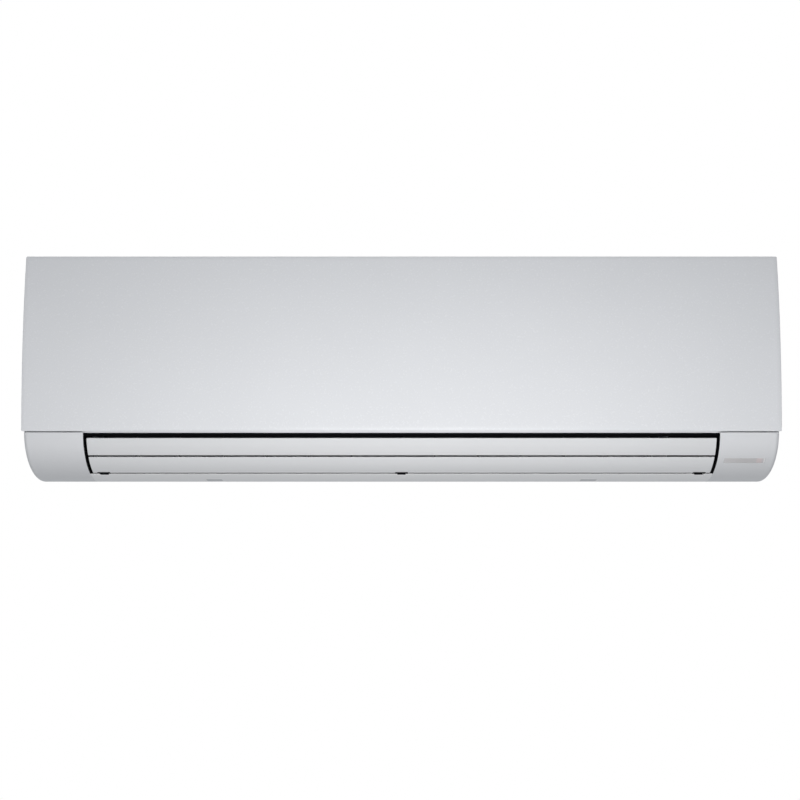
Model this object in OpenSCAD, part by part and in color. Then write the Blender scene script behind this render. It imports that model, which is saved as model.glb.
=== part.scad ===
// Wall-mounted fan coil unit, in millimetres.
// +X to the right seen from the front, +Y towards the wall, +Z up.
// The origin is the centre of the wall plate's back face, so the wall is the plane y = 0.

/* [Case] */
// Width of the front panel
panel_w = 1072; // [1040:1:1110]
// How far the panel overhangs the frame at each side
panel_overhang = 3; // [2:0.5:6]
// Depth from the wall to the panel's foot
case_depth = 230; // [226:1:236]
// Height of the panel's top above the origin
panel_top = 165; // [163:0.5:170]
// Drop of the case's underside below the origin
case_drop = 160; // [158:0.5:164]
// Radius of the panel's vertical curve
panel_r = 710; // [690:5:740]
// Height of the panel's foot, below the origin
panel_foot = 85; // [84:0.5:86]
// Wall thickness of the front panel
panel_wall = 2.5; // [2:0.1:3]
// Depth of the rim that returns round the panel
rim_depth = 9; // [7:0.5:10]
// Wall thickness of the moulded frame
frame_wall = 2.5; // [2:0.1:2.8]
// Gap between the panel's foot and the chin
foot_gap = 2; // [1.5:0.5:3]
// Distance of the chin's lowest line from the wall
chin_back = 45; // [42:1:48]
// Gap between the frame's back edge and the wall
wall_gap = 2; // [1:0.5:3]

/* [Outlet] */
// Width of the cheek at each side of the outlet
cheek_w = 88; // [86:1:92]
// Gap at each end of the louvers
louver_end_gap = 3.5; // [2.5:0.5:5]
// Wall thickness of the louvers
louver_wall = 2.2; // [1.8:0.1:2.4]
// Distance of the outer louver supports from the outlet's ends
support_inset = 28; // [26:1:36]
// Radius of the louver pivot pins
pivot_pin_r = 2; // [1.8:0.1:2.2]
// Radial clearance of every pivot pin
pivot_gap = 0.05; // [0.03:0.01:0.08]
// Width of the hinge slots in the lip
slot_w = 18; // [17:0.5:20]
// Throw of the link between the two louvers
link_throw = 14; // [13:0.5:14]

/* [Vanes] */
// Number of air vanes in each bank
vanes_per_bank = 6; // [6]
// Thickness of an air vane
vane_t = 2; // [1.6:0.1:2.4]

/* [Blower] */
// Radius of the blower wheel
wheel_r = 50; // [48:0.5:51]
// Number of blades on the wheel
blades = 35; // [31:1:37]
// Radius of the motor shaft
shaft_r = 4; // [3.5:0.1:4.5]
// Radius of the fan motor's body
motor_r = 40; // [38:0.5:41]

/* [Coil] */
// Thickness of the finned coil slabs
coil_t = 26; // [24:0.5:27]
// Outer radius of the water pipes
pipe_r = 8; // [7:0.5:9]
// Outer radius of the male union thread
union_r = 13.2; // [12:0.1:14]
// Outer radius of the drain spigot
spigot_r = 8; // [7:0.5:9]

/* [Wall plate] */
// Width of the wall plate
plate_w = 740; // [700:5:780]
// Height of the wall plate
plate_h = 236; // [220:2:244]
// Thickness of the wall plate's sheet
plate_t = 1.2; // [1:0.1:1.5]
// Distance between the plate's screw holes along X
screw_pitch_x = 600; // [560:5:620]
// Distance between the plate's screw holes along Z
screw_pitch_z = 120; // [110:2:130]
// Radius of the plate's screw holes
screw_hole_r = 2.75; // [2.5:0.05:3.25]

/* [Hidden] */

// Colours
white = [0.9, 0.91, 0.93];
pale = [0.84, 0.85, 0.87];
dark = [0.16, 0.16, 0.17];
steel = [0.74, 0.75, 0.76];
fin = [0.62, 0.7, 0.76];
copper = [0.78, 0.46, 0.3];
brass = [0.8, 0.65, 0.32];
green = [0.1, 0.36, 0.2];

// Case geometry
eps = 0.01;
panel_half = panel_w / 2;
frame_half = panel_half - panel_overhang;
outlet_half = panel_half - cheek_w;
front = -case_depth;
arc_y = panel_r - case_depth;
chin_top = -panel_foot - foot_gap;
chin_z = -panel_foot - 1;
chin_rise = case_drop - panel_foot - 1;
chin_run = case_depth - chin_back - 2;
case_top = panel_top - 4;
top_front = front + 64;
shell_gap = 10;
edge_gap = 3.5;
front_r = panel_r - shell_gap;
curve_n = 28;

// Filter path
filter_half_t = 2;
filter_r = panel_r - 22;
bend_r = 50;
bend_z = case_top - 65;
bend_up = bend_z + panel_foot;
bend_y = arc_y - sqrt((filter_r - bend_r) * (filter_r - bend_r) - bend_up * bend_up);
filter_foot = -66;
filter_back = -45;
filter_in = 16;
filter_out = outlet_half - 8;
rail_gap = 0.3;

// Hinge of the panel
hinge_y = front + 54;
hinge_z = panel_top - 9;
hinge_x = frame_half - 63;
hinge_pin_r = 2.8;

// Floor of the duct, falling forward from the scroll
fan_y = -112;
fan_z = -50;
scroll_r0 = wheel_r + 4;
scroll_growth = 0.106;
scroll_start = 50;
scroll_sweep = 120;
scroll_wall = 2.5;
scroll_end_r = scroll_r0 * exp(scroll_growth * scroll_sweep * PI / 180);
floor_y0 = fan_y + scroll_end_r * cos(scroll_start - scroll_sweep);
floor_z0 = fan_z + scroll_end_r * sin(scroll_start - scroll_sweep);
floor_angle = 26.05;
nose_front = -149;
nose_back = -134;

// Louvers
upper_pivot = [front + 27, -114];
lower_pivot = [-145, chin(chin_t_y(-145), 0)[1] + 3.68];
link_angle = 60;
link_pin = [link_throw * cos(link_angle), link_throw * sin(link_angle)];
louver_half = outlet_half - louver_end_gap;
support_x = outlet_half - support_inset;
strip_depth = 26;
arm_w = 12;
hub_r = 3.6;

// Vanes
vane_y = -128;
vane_lift = 3.5;
left_bank_x = -outlet_half + 66;
right_bank_x = 48;
vane_pitch = (outlet_half - 138) / 5;
vane_pin_r = 2;
vane_arm = 12;
rod_pin_r = 1.5;

// Fan and chassis
wheel_left = -outlet_half + 16;
wheel_right = outlet_half - 76;
disc_t = 2;
left_wall_x = -outlet_half + 2.5;
right_wall_x = outlet_half - 66;
motor_x0 = outlet_half - 54;
motor_x1 = outlet_half + 4;
seat_x = [motor_x0 - 5.5, motor_x1 + 1.5];
seat_t = 4;
ring_r = 27;
boss_r = 20;
back_y = -16;
back_wall = 2.5;
chassis_half = frame_half - 13;
recess_top = -70;

// Coil
coil_x0 = -outlet_half + 20;
coil_x1 = outlet_half - 80;
end_plate_t = 1.2;
bend_pitch = 21;
tube_r = 3.5;

// Pipes
supply_x = outlet_half - 43;
return_x = outlet_half - 16;
run_y = -34;
supply_out_z = 72;
return_out_z = 104;
union_z = -137;
supply_run_z = -92;
supply_union_x = 226;
return_union_x = 278;
union_end = -3;
union_thread = 14;
union_hex = 8;
union_hex_r = 16;
pipe_bend = 16;

// Control box
box_x0 = frame_half - 71;
box_x1 = frame_half - 9;
box_y0 = front + 46;
box_y1 = -60;
box_z0 = -60;
box_z1 = 120;

// Screw caps on the underside
cap_x = 265;
cap_w = 23;
cap_y0 = -109;
cap_y1 = -70;

// Indicator window
window_x0 = frame_half - 80;
window_x1 = frame_half - 24;
window_z = -128;
window_h = 6.5;

// Manual button in the right shoulder
button_x = frame_half - 41;
button_z = -30;
button_r = 4;

function lin(a, b, i, n) = a + (b - a) * i / n;

// y on the vertical curve of radius r at height z
function curve_y(r, z) = arc_y - sqrt(r * r - (z + panel_foot) * (z + panel_foot));

// Point on the chin's ellipse at angle t, set in by d
function chin(t, d) = [-chin_back - (chin_run - d) * cos(t), chin_z - (chin_rise - d) * sin(t)];

// Angle on the chin's ellipse at a given y
function chin_t_y(y) = acos((-chin_back - y) / chin_run);

// Angle on the chin's ellipse at a given z
function chin_t_z(z) = asin((chin_z - z) / chin_rise);

function chin_arc(t0, t1, d, n) = [for (i = [0:n]) chin(lin(t0, t1, i, n), d)];

function rev(a) = [for (i = [len(a) - 1:-1:0]) a[i]];

// Height of the duct floor at a given y
function floor_z(y) = floor_z0 + (y - floor_y0) * tan(floor_angle);

// Extrudes a (y, z) section along X
module along_x(x0, x1) {
  translate([x0, 0, 0])
    rotate([90, 0, 90])
      linear_extrude(x1 - x0) children();
}

module both_sides() {
  children();
  mirror([1, 0, 0]) children();
}

// A pin along X
module pin_x(x0, x1, yz, r) {
  translate([x0, yz[0], yz[1]])
    rotate([0, 90, 0])
      cylinder(h = x1 - x0, r = r, $fn = 48);
}

// A straight bar with square ends between two section points
module bar(p, q, w) {
  d = q - p;
  l = norm(d);
  s = [-d[1], d[0]] / l * w / 2;
  polygon([p + s, p - s, q - s, q + s]);
}

module dot_at(p, r) {
  translate(p) circle(r = r, $fn = 48);
}

// Bar with round ends that stand a little proud of its sides
module round_bar(p, q, r) {
  bar(p, q, 2 * r - 0.6);
  dot_at(p, r);
  dot_at(q, r);
}

module disc(r) {
  translate([arc_y, -panel_foot]) circle(r = r, $fn = 240);
}

// Band between two radii of the vertical curve, from z0 to z1
module curve_band(r0, r1, z0, z1) {
  intersection() {
    difference() {
      disc(r0);
      disc(r1);
    }
    translate([-case_depth - 10, z0]) square([120, z1 - z0]);
  }
}

module chin_band(d0, d1, t0, t1, n) {
  polygon(concat(chin_arc(t0, t1, d0, n), rev(chin_arc(t0, t1, d1, n))));
}

// Region inside the filter's path, set in by d
module filter_core(d) {
  tilt = (bend_z + panel_foot) / (arc_y - bend_y);
  intersection() {
    disc(filter_r - d);
    polygon([
      [-case_depth, filter_foot], [bend_y, filter_foot], [bend_y, bend_z],
      [-case_depth, bend_z + (bend_y + case_depth) * tilt]
    ]);
  }
  translate([bend_y, bend_z]) circle(r = bend_r - d, $fn = 96);
  translate([bend_y - eps, filter_foot])
    square([filter_back - bend_y, bend_z - filter_foot]);
  translate([bend_y, bend_z - 1])
    square([filter_back - bend_y, bend_r - d + 1]);
}

// Band along the filter's path between two offsets
module filter_band(d0, d1) {
  difference() {
    filter_core(d0);
    filter_core(d1);
  }
}

// Pressed steel sheet with two hat rails, hooks, screw holes and a pipe cut-out
module wall_plate() {
  rail_deep = -back_y - back_wall - rail_gap;
  color(steel)
    difference() {
      union() {
        translate([-plate_w / 2, -plate_t, -plate_h / 2]) cube([plate_w, plate_t, plate_h]);
        for (z = [-92, 92])
          translate([-plate_w / 2 + 20, -rail_deep, z - 9])
            cube([plate_w - 40, rail_deep - plate_t + eps, 18]);
        both_sides()
          translate([250, back_y - 3.5, 94]) {
            cube([28, 6.5, 3]);
            cube([28, 1.4, 12]);
          }
      }
      for (z = [-92, 92])
        translate([-plate_w / 2 + 20 + plate_t, -rail_deep + plate_t, z - 9 + plate_t])
          cube([plate_w - 40 - 2 * plate_t, rail_deep, 18 - 2 * plate_t]);
      for (sx = [-1, 1], sz = [-1, 1])
        translate([sx * screw_pitch_x / 2, eps, sz * screw_pitch_z / 2])
          rotate([90, 0, 0]) cylinder(h = plate_t + 2 * eps, r = screw_hole_r, $fn = 48);
      both_sides()
        for (x = [60:60:240])
          translate([x, eps, 0]) rotate([90, 0, 0])
            linear_extrude(plate_t + 2 * eps) {
              translate([-12, -30]) square([24, 60]);
              translate([0, 30]) circle(r = 12, $fn = 40);
              translate([0, -30]) circle(r = 12, $fn = 40);
            }
    }
}

// Outer face of the scroll wall, or its inner face when d is 0
function scroll(d, n) = [
  for (i = [0:n])
    let (a = scroll_sweep * i / n, r = scroll_r0 * exp(scroll_growth * a * PI / 180) + d)
      [fan_y + r * cos(scroll_start - a), fan_z + r * sin(scroll_start - a)]
];

module scroll_section() {
  drop = scroll_wall / cos(floor_angle);
  polygon(concat(
    scroll(0, 20), [[nose_back, floor_z(nose_back)], [nose_back, floor_z(nose_back) - drop]],
    rev(scroll(scroll_wall, 20))
  ));
}

// End wall of the fan chamber
module end_wall_section() {
  polygon(concat(
    [[back_y, -9.5], [-77, -9.5], [-90, 12], [-134, 12], [-158, -12], [-162, -72]],
    [[-146, -100], [nose_back, floor_z(nose_back)], [nose_back, floor_z(nose_back) - 2.7]],
    [for (p = rev(scroll(scroll_wall, 20))) if (p[1] < -16) p],
    [[-62, -12], [back_y, -12]]
  ));
}

module motor_half(sign) {
  difference() {
    polygon([
      [fan_y - 34, fan_z], [fan_y + 34, fan_z],
      [fan_y + 34, fan_z + sign * 47.5], [fan_y - 16, fan_z + sign * 47.5], [fan_y - 34, fan_z + sign * 30]
    ]);
    dot_at([fan_y, fan_z], ring_r);
  }
}

// Rear casing: back wall, scroll, drip channel, end walls and motor seat
module chassis() {
  color(pale)
    difference() {
      union() {
        along_x(-chassis_half, chassis_half)
          translate([back_y, recess_top]) square([back_wall, 150 - recess_top]);
        along_x(left_wall_x, right_wall_x) {
          scroll_section();
          polygon([
            [back_y, -12], [-77, -12], [-79.5, 3], [-77.5, 3], [-74.5, -9.5], [back_y, -9.5]
          ]);
          polygon([
            [back_y + eps, recess_top], [back_y + eps, recess_top - 2.5],
            [-52, recess_top - 2.5], [-52, recess_top]
          ]);
        }
        along_x(left_wall_x, left_wall_x + 2.5) end_wall_section();
        along_x(right_wall_x, right_wall_x + 2.5) end_wall_section();
        // Motor seat
        along_x(right_wall_x, motor_x1 + 8)
          polygon([[-132, -100], [-64, -100], [-64, -97.4], [-132, -97.4]]);
        for (x = seat_x)
          along_x(x, x + seat_t) motor_half(-1);
        // Top ledge and its posts up to the frame
        along_x(-chassis_half, chassis_half)
          translate([back_y - 12, 147.5]) square([12 + eps, 2.5]);
        for (x = [-outlet_half + 48, 0, outlet_half - 48])
          translate([x - 10, back_y - 12, 147.5]) cube([20, 8, case_top - frame_wall - 147.5]);
        // Screw bosses down to the frame's underside
        both_sides()
          translate([cap_x, (cap_y0 + cap_y1) / 2, -150.5])
            cylinder(h = 38, r = 6, $fn = 48);
        // Ribs behind the back wall, round the plate's hooks
        both_sides()
          translate([chassis_half - 6, back_y - 10, recess_top]) cube([6, 10 + eps, 150 - recess_top]);
      }
      // The bosses end at the scroll
      along_x(-cap_x - 8, cap_x + 8)
        polygon(concat(scroll(0, 20), [[nose_back, floor_z(nose_back)], [nose_back, -60]]));
      // Slots for the plate's hooks
      both_sides()
        translate([248, back_y - 5, 88]) cube([32, 12, 9.3]);
      // Bearing seat and shaft hole
      pin_x(left_wall_x - 1, left_wall_x + 4, [fan_y, fan_z], 11);
      pin_x(right_wall_x - 1, right_wall_x + 4, [fan_y, fan_z], 12);
      // Screw holes in the bosses
      both_sides()
        translate([cap_x, (cap_y0 + cap_y1) / 2, -151]) cylinder(h = 14, r = 1.8, $fn = 32);
    }
}

module case_side_section() {
  intersection() {
    disc(panel_r - edge_gap);
    polygon([
      [-case_depth, chin_top], [-wall_gap, chin_top], [-wall_gap, case_top],
      [top_front - 1.5, case_top], [top_front - 1.5, case_top - 6], [-case_depth, case_top - 6]
    ]);
  }
  polygon(concat(
    chin_arc(chin_t_z(chin_top), 90, 0, curve_n),
    [[-wall_gap, -case_drop], [-wall_gap, chin_top + 1], [-200, chin_top + 1]]
  ));
}

// Front wall beside the filters, with the slope up to the top grille
module shoulder_section() {
  z1 = 128;
  y1 = curve_y(front_r, z1);
  curve_band(front_r, front_r - frame_wall, chin_top - 2.5, z1);
  polygon([
    [y1 - eps, z1 - eps], [top_front, 148], [top_front, case_top],
    [top_front + frame_wall, case_top], [top_front + frame_wall, 147], [y1 + 2.5, z1 - eps]
  ]);
}

module hinge_ear() {
  along_x(hinge_x + 9, hinge_x + 15) {
    dot_at([hinge_y, hinge_z], 5.4);
    bar([hinge_y, hinge_z - 1], [top_front + 1, 150], 8);
  }
}

// Front casing
module front_frame() {
  slot_pitch = (2 * frame_half - 143) / 13;
  nose_t0 = chin_t_y(nose_front);
  nose_t1 = chin_t_y(nose_back);
  color(white)
    difference() {
      union() {
        // Side walls
        both_sides()
          along_x(frame_half - frame_wall, frame_half) case_side_section();
        // Chin skin of the cheeks, and the shoulders above it
        both_sides()
          along_x(outlet_half, frame_half - frame_wall + eps) {
            chin_band(0, frame_wall, chin_t_z(chin_top), 90, curve_n);
            polygon([
              chin(chin_t_z(chin_top), 0), chin(chin_t_z(chin_top), 12),
              chin(chin_t_z(chin_top - 2.5), 12), chin(chin_t_z(chin_top - 2.5), 1)
            ]);
            shoulder_section();
          }
        // Underside and nose across the whole width
        along_x(-frame_half + frame_wall - eps, frame_half - frame_wall + eps) {
          chin_band(0, frame_wall, nose_t0, 90, 12);
          translate([-chin_back - eps, -case_drop]) square([chin_back - wall_gap, frame_wall]);
        }
        along_x(-outlet_half - frame_wall, outlet_half + frame_wall)
          polygon(concat(
            chin_arc(nose_t0, nose_t1, 0, 4),
            [[nose_back, floor_z(nose_back)], [nose_front, floor_z(nose_front)]]
          ));
        // End walls of the outlet opening
        both_sides()
          along_x(outlet_half, outlet_half + frame_wall)
            difference() {
              chin_band(0.5, strip_depth, chin_t_z(chin_top - 1), nose_t1, curve_n);
              polygon([[-215, -60], [-215, -100], [-170, -104], [-150, -90], [-150, -60]]);
            }
        // Bottom bar, centre column and head bar
        along_x(-outlet_half - eps, outlet_half + eps)
          curve_band(front_r, front_r - frame_wall, chin_top + 3, filter_foot - 1);
        along_x(-14, 14) {
          intersection() {
            shoulder_section();
            translate([-case_depth, -panel_foot + 2]) square([case_depth, case_depth]);
          }
          intersection() {
            filter_band(-10, filter_half_t + 1.8);
            translate([-220, filter_foot]) square([215, 250]);
          }
        }
        along_x(-outlet_half - eps, outlet_half + eps)
          polygon([
            [top_front, 150], [top_front, case_top],
            [top_front + frame_wall, case_top], [top_front + frame_wall, 150]
          ]);
        // Side rails that carry the filters
        both_sides() {
          along_x(filter_out + 2, filter_out + 4.5) {
            filter_band(-10, filter_half_t + rail_gap + 2);
            translate([-160, bend_z + bend_r + 8.9]) square([114, case_top - bend_z - bend_r - 9]);
          }
          along_x(filter_out - 9, filter_out + 3)
            filter_band(filter_half_t + rail_gap, filter_half_t + rail_gap + 2);
          along_x(-eps, filter_in + 10) filter_band(filter_half_t + rail_gap, filter_half_t + rail_gap + 2);
          translate([filter_out + 3, filter_back - 2, bend_z + bend_r])
            cube([outlet_half - filter_out - 3 + eps, 2, case_top - bend_z - bend_r]);
          along_x(filter_out + 3, outlet_half + eps)
            curve_band(front_r, front_r - frame_wall, filter_foot - 2, 128);
        }
        // Top with its intake slots
        translate([-frame_half + frame_wall - eps, top_front, case_top - frame_wall])
          linear_extrude(frame_wall)
            difference() {
              square([2 * (frame_half - frame_wall + eps), -top_front - wall_gap]);
              for (i = [0:13], j = [0:4])
                translate([23 + i * slot_pitch, 14 + j * 24]) square([slot_pitch - 9, 15]);
            }
        // Sockets of the panel's hinge
        both_sides() hinge_ear();
        // Seats of the stepper motor's ears
        for (p = stepper_ears())
          pin_x(outlet_half + 2, outlet_half + 5, p, 3.4);
        // Pockets for the two case screws
        both_sides()
          translate([cap_x - cap_w / 2 - 2, cap_y0 - 2, -157.2])
            cube([cap_w + 4, cap_y1 - cap_y0 + 4, 6.7]);
      }
      // Room for the panel's foot rim
      both_sides()
        translate([outlet_half + 20, -case_depth - 5, chin_top])
          cube([frame_half, 14.5, 6.5]);
      // Pivots of the louvers
      both_sides()
        pin_x(outlet_half - 1, outlet_half + 4, upper_pivot, pivot_pin_r + 1.5 + pivot_gap);
      // Hinge slots in the lip, and the pin bores beside them
      for (x = [-support_x, 0, support_x]) {
        translate([x - slot_w / 2, nose_front - 2, -150]) cube([slot_w, nose_back - nose_front - 0.5, 20]);
        pin_x(x - slot_w / 2 - 3.5, x + slot_w / 2 + 3.5, lower_pivot, pivot_pin_r + pivot_gap);
      }
      // Sockets for the panel's pins
      both_sides()
        pin_x(hinge_x + 8, hinge_x + 16, [hinge_y, hinge_z], hinge_pin_r + pivot_gap);
      // Screw pockets from below, with a ledge for each cap
      both_sides() {
        translate([cap_x - cap_w / 2 + 1, cap_y0 + 1, -162])
          cube([cap_w - 2, cap_y1 - cap_y0 - 2, 9]);
        cap_space(0.2);
        translate([cap_x, (cap_y0 + cap_y1) / 2, -155]) cylinder(h = 6, r = 2.2, $fn = 32);
      }
      // Window in the right cheek
      window_space(0.15);
      // Manual button's hole in the right shoulder
      translate([button_x, front - 5, button_z])
        rotate([-90, 0, 0]) cylinder(h = 25, r = button_r + pivot_gap, $fn = 48);
      // Pilot holes for the stepper's screws
      for (p = stepper_ears())
        pin_x(outlet_half + 1, outlet_half + 6, p, 1.2);
      // Knock-out outlines at the lower rear of both side walls
      both_sides()
        translate([frame_half - 0.8, -62, -152])
          difference() {
            cube([2, 50, 62]);
            translate([-1, 1.2, 1.2]) cube([4, 47.6, 59.6]);
          }
    }
}

// Space of a screw cap, grown by g
module cap_space(g) {
  intersection() {
    translate([cap_x - cap_w / 2 - g, cap_y0 - g, -170])
      cube([cap_w + 2 * g, cap_y1 - cap_y0 + 2 * g, 30]);
    along_x(cap_x - 20, cap_x + 20) chin_band(-g, 1.5, 55, 89, 16);
  }
}

// Space of the indicator window, grown by g
module window_space(g) {
  along_x(window_x0 - g, window_x1 + g)
    intersection() {
      chin_band(-0.2, frame_wall + 0.1, 20, 50, 16);
      translate([-230, window_z - window_h / 2 - g]) square([120, window_h + 2 * g]);
    }
}

// Convex cover with a returned rim, inner ribs, and hinge arms
module front_panel() {
  inner = panel_r - panel_wall;
  color(white) {
    along_x(-panel_half, panel_half)
      curve_band(panel_r, inner, -panel_foot, panel_top);
    both_sides()
      along_x(panel_half - panel_wall, panel_half)
        curve_band(panel_r - 1, panel_r - rim_depth, -panel_foot, panel_top);
    along_x(-panel_half + 1, panel_half - 1) {
      curve_band(panel_r - 1, panel_r - rim_depth, -panel_foot, -panel_foot + panel_wall);
      curve_band(panel_r - 1, panel_r - rim_depth, panel_top - panel_wall, panel_top);
    }
    along_x(-frame_half + 2 * frame_wall, frame_half - 2 * frame_wall)
      for (z = [-30, 40, 105])
        curve_band(panel_r - 1, inner - 3, z, z + 1.6);
    for (i = [-3:3]) let (x = i * (panel_half - 146) / 3)
      along_x(x - 0.8, x + 0.8) curve_band(panel_r - 1, inner - 3, -panel_foot + 1, 150);
    both_sides() {
      along_x(hinge_x, hinge_x + 6) {
        dot_at([hinge_y, hinge_z], 5.4);
        polygon([
          [hinge_y, hinge_z + 5.3], [hinge_y, hinge_z - 5.3],
          [curve_y(inner + 1, 138), 138], [curve_y(inner + 1, 156), 156]
        ]);
      }
      pin_x(hinge_x + 5, hinge_x + 17, [hinge_y, hinge_z], hinge_pin_r);
    }
  }
}

// Frame of one filter: side rails and cross ribs in two layers, with a slot for the net
module filter_frame() {
  ribs = [-66, -14, 38, 90];
  color(pale)
    difference() {
      union() {
        along_x(filter_in, filter_in + 8) filter_band(-filter_half_t, filter_half_t);
        along_x(filter_out - 8, filter_out) filter_band(-filter_half_t, filter_half_t);
        along_x(filter_in + 7, filter_out - 7)
          intersection() {
            filter_band(-filter_half_t, filter_half_t);
            union() {
              for (z = ribs)
                translate([-230, z]) square([60, 5]);
              for (y = [for (i = [0:2]) lin(bend_y + 14, filter_back - 5, i, 2)])
                translate([y, bend_z + 30]) square([5, 40]);
            }
          }
        for (x = [for (i = [1:3]) lin(filter_in, filter_out, i, 4)])
          along_x(x - 2, x + 2) filter_band(-filter_half_t, filter_half_t);
      }
      along_x(filter_in + 5, filter_out - 5) filter_band(-0.5, 0.5);
    }
}

// Net of one filter
module filter_net() {
  color(dark)
    along_x(filter_in + 5.1, filter_out - 5.1) filter_band(-0.4, 0.4);
}

// Rectangle of a coil slab from outer corner p along direction a, of length l
module slab(p, a, l, grow) {
  translate(p) rotate(a) translate([-grow, -coil_t - grow]) square([l + 2 * grow, coil_t + 2 * grow]);
}

front_slab = [[front + 29, -62], 83.6, 84];
upper_slab = [[front + 41, 38], 56.2, 104];
rear_slab = [[-88, 130], -66.6, 130];

module coil_slab(s) {
  color(fin)
    along_x(coil_x0, coil_x1)
      slab_2d(s, 0);
}

module slab_2d(s, grow) {
  slab(s[0], s[1], s[2], grow);
}

// End plate over the three slabs, with an arm back to the chassis and a foot in the pan
module coil_end_plate(x) {
  color(steel)
    along_x(x, x + end_plate_t) {
      slab_2d(front_slab, 0);
      slab_2d(upper_slab, 4);
      slab_2d(rear_slab, 0);
      bar([front + 54, 18], [front + 54, 34], 16);
      bar([front + 117, 118], [-96, 122], 14);
      polygon([[-80, 60], [back_y, 60], [back_y, 122], [-90, 126]]);
      polygon([[front + 30, -55], [front + 26, -84], [front + 34, -81.5], [front + 40, -55]]);
    }
}

// Half ring of tube that leaves the section plane towards +Z and comes back
module bend_half() {
  rotate([90, 0, 0])
    rotate_extrude(angle = 180, $fn = 48)
      translate([bend_pitch / 2 - 3.5, 0]) circle(r = tube_r, $fn = 24);
}

// Bends along one slab: s is the slab, n their number
module slab_bends(s, n) {
  a = s[1];
  for (i = [0:n - 1]) {
    along = 13 + i * bend_pitch * 1.05;
    c = s[0] + along * [cos(a), sin(a)] + 0.5 * coil_t * [sin(a), -cos(a)];
    translate([coil_x1 + end_plate_t, c[0], c[1]])
      rotate([a, 0, 0])
        multmatrix([[0, 0, 1, 0], [1, 0, 0, 0], [0, 1, 0, 0], [0, 0, 0, 1]])
          bend_half();
    translate([coil_x0 - end_plate_t, c[0], c[1]])
      rotate([a, 0, 0])
        multmatrix([[0, 0, -1, 0], [1, 0, 0, 0], [0, -1, 0, 0], [0, 0, 0, 1]])
          bend_half();
  }
}

// Copper return bends at both ends of the coil
module coil_bends() {
  color(copper) {
    slab_bends(front_slab, 3);
    slab_bends(upper_slab, 4);
    slab_bends(rear_slab, 3);
  }
}

// Solid rod between two points in space
module rod(p, q, r) {
  d = q - p;
  l = norm(d);
  translate(p)
    rotate([0, acos(d[2] / l), atan2(d[1], d[0])])
      cylinder(h = l, r = r, $fn = 48);
}

function unit(v) = v / norm(v);

// Length of straight pipe that a bend at p1 takes up
function bend_cut(p0, p1, p2, b) = b * tan(acos(unit(p1 - p0) * unit(p2 - p1)) / 2);

// Bend of a pipe round the corner p1
module pipe_corner(p0, p1, p2, r, b) {
  u = unit(p1 - p0);
  v = unit(p2 - p1);
  phi = acos(u * v);
  n = unit(v - u * (u * v));
  c = p1 - u * b * tan(phi / 2) + n * b;
  z = cross(-n, u);
  multmatrix([
    [-n[0], u[0], z[0], c[0]], [-n[1], u[1], z[1], c[1]], [-n[2], u[2], z[2], c[2]], [0, 0, 0, 1]
  ])
    rotate_extrude(angle = phi, $fn = 48) translate([b, 0]) circle(r = r, $fn = 48);
}

// Pipe through a list of points, with true bends at the corners
module pipe(p, r, b) {
  n = len(p);
  for (i = [0:n - 2]) {
    c0 = i == 0 ? 0 : bend_cut(p[i - 1], p[i], p[i + 1], b);
    c1 = i == n - 2 ? 0 : bend_cut(p[i], p[i + 1], p[i + 2], b);
    u = unit(p[i + 1] - p[i]);
    rod(p[i] + u * c0, p[i + 1] - u * c1, r);
  }
  for (i = [1:n - 2])
    pipe_corner(p[i - 1], p[i], p[i + 1], r, b);
}

// Male union on the end of a run, facing the wall: hexagon, collar and thread
module male_union(x) {
  translate([x, union_end - union_thread - union_hex, union_z])
    rotate([-90, 0, 0]) {
      cylinder(h = union_hex, r = union_hex_r, $fn = 6);
      cylinder(h = union_hex + union_thread, r = union_r, $fn = 64);
    }
}

// Pipe through a list of points that ends in a union at x, bored from its mouth
module water_pipe(points, x) {
  difference() {
    union() {
      color(copper) pipe(points, pipe_r, pipe_bend);
      color(brass) male_union(x);
    }
    translate([x, union_end + 1, union_z])
      rotate([90, 0, 0]) cylinder(h = union_hex + union_thread + 3, r = pipe_r - 1, $fn = 48);
  }
}

module supply_pipe() {
  x0 = coil_x1 + end_plate_t;
  water_pipe([
    [x0, run_y, supply_out_z], [supply_x, run_y, supply_out_z], [supply_x, run_y, supply_run_z],
    [supply_union_x, run_y, supply_run_z], [supply_union_x, run_y, union_z],
    [supply_union_x, union_end - union_thread, union_z]
  ], supply_union_x);
}

module return_pipe() {
  x0 = coil_x1 + end_plate_t;
  water_pipe([
    [x0, run_y, return_out_z], [return_x, run_y, return_out_z], [return_x, run_y, union_z],
    [return_union_x, run_y, union_z], [return_union_x, union_end - union_thread, union_z]
  ], return_union_x);
}

// Bleed valve on top of the return pipe
module air_vent() {
  color(brass)
    translate([400, run_y, return_out_z + pipe_r]) {
      cylinder(h = 14, r = 4, $fn = 40);
      translate([0, 0, 10]) cylinder(h = 6, r = 6.5, $fn = 6);
      translate([0, 0, 16]) cylinder(h = 5, r = 2.5, $fn = 32);
    }
}

pan_front = front + 16;
pan_back = front + 60;
gutter_x0 = -outlet_half - 30;
gutter_x1 = -outlet_half - 3;
gutter_back = -30;
spigot_x = (gutter_x0 + gutter_x1) / 2;
spigot_z = -89.5;
spigot_len = 24;

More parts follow.
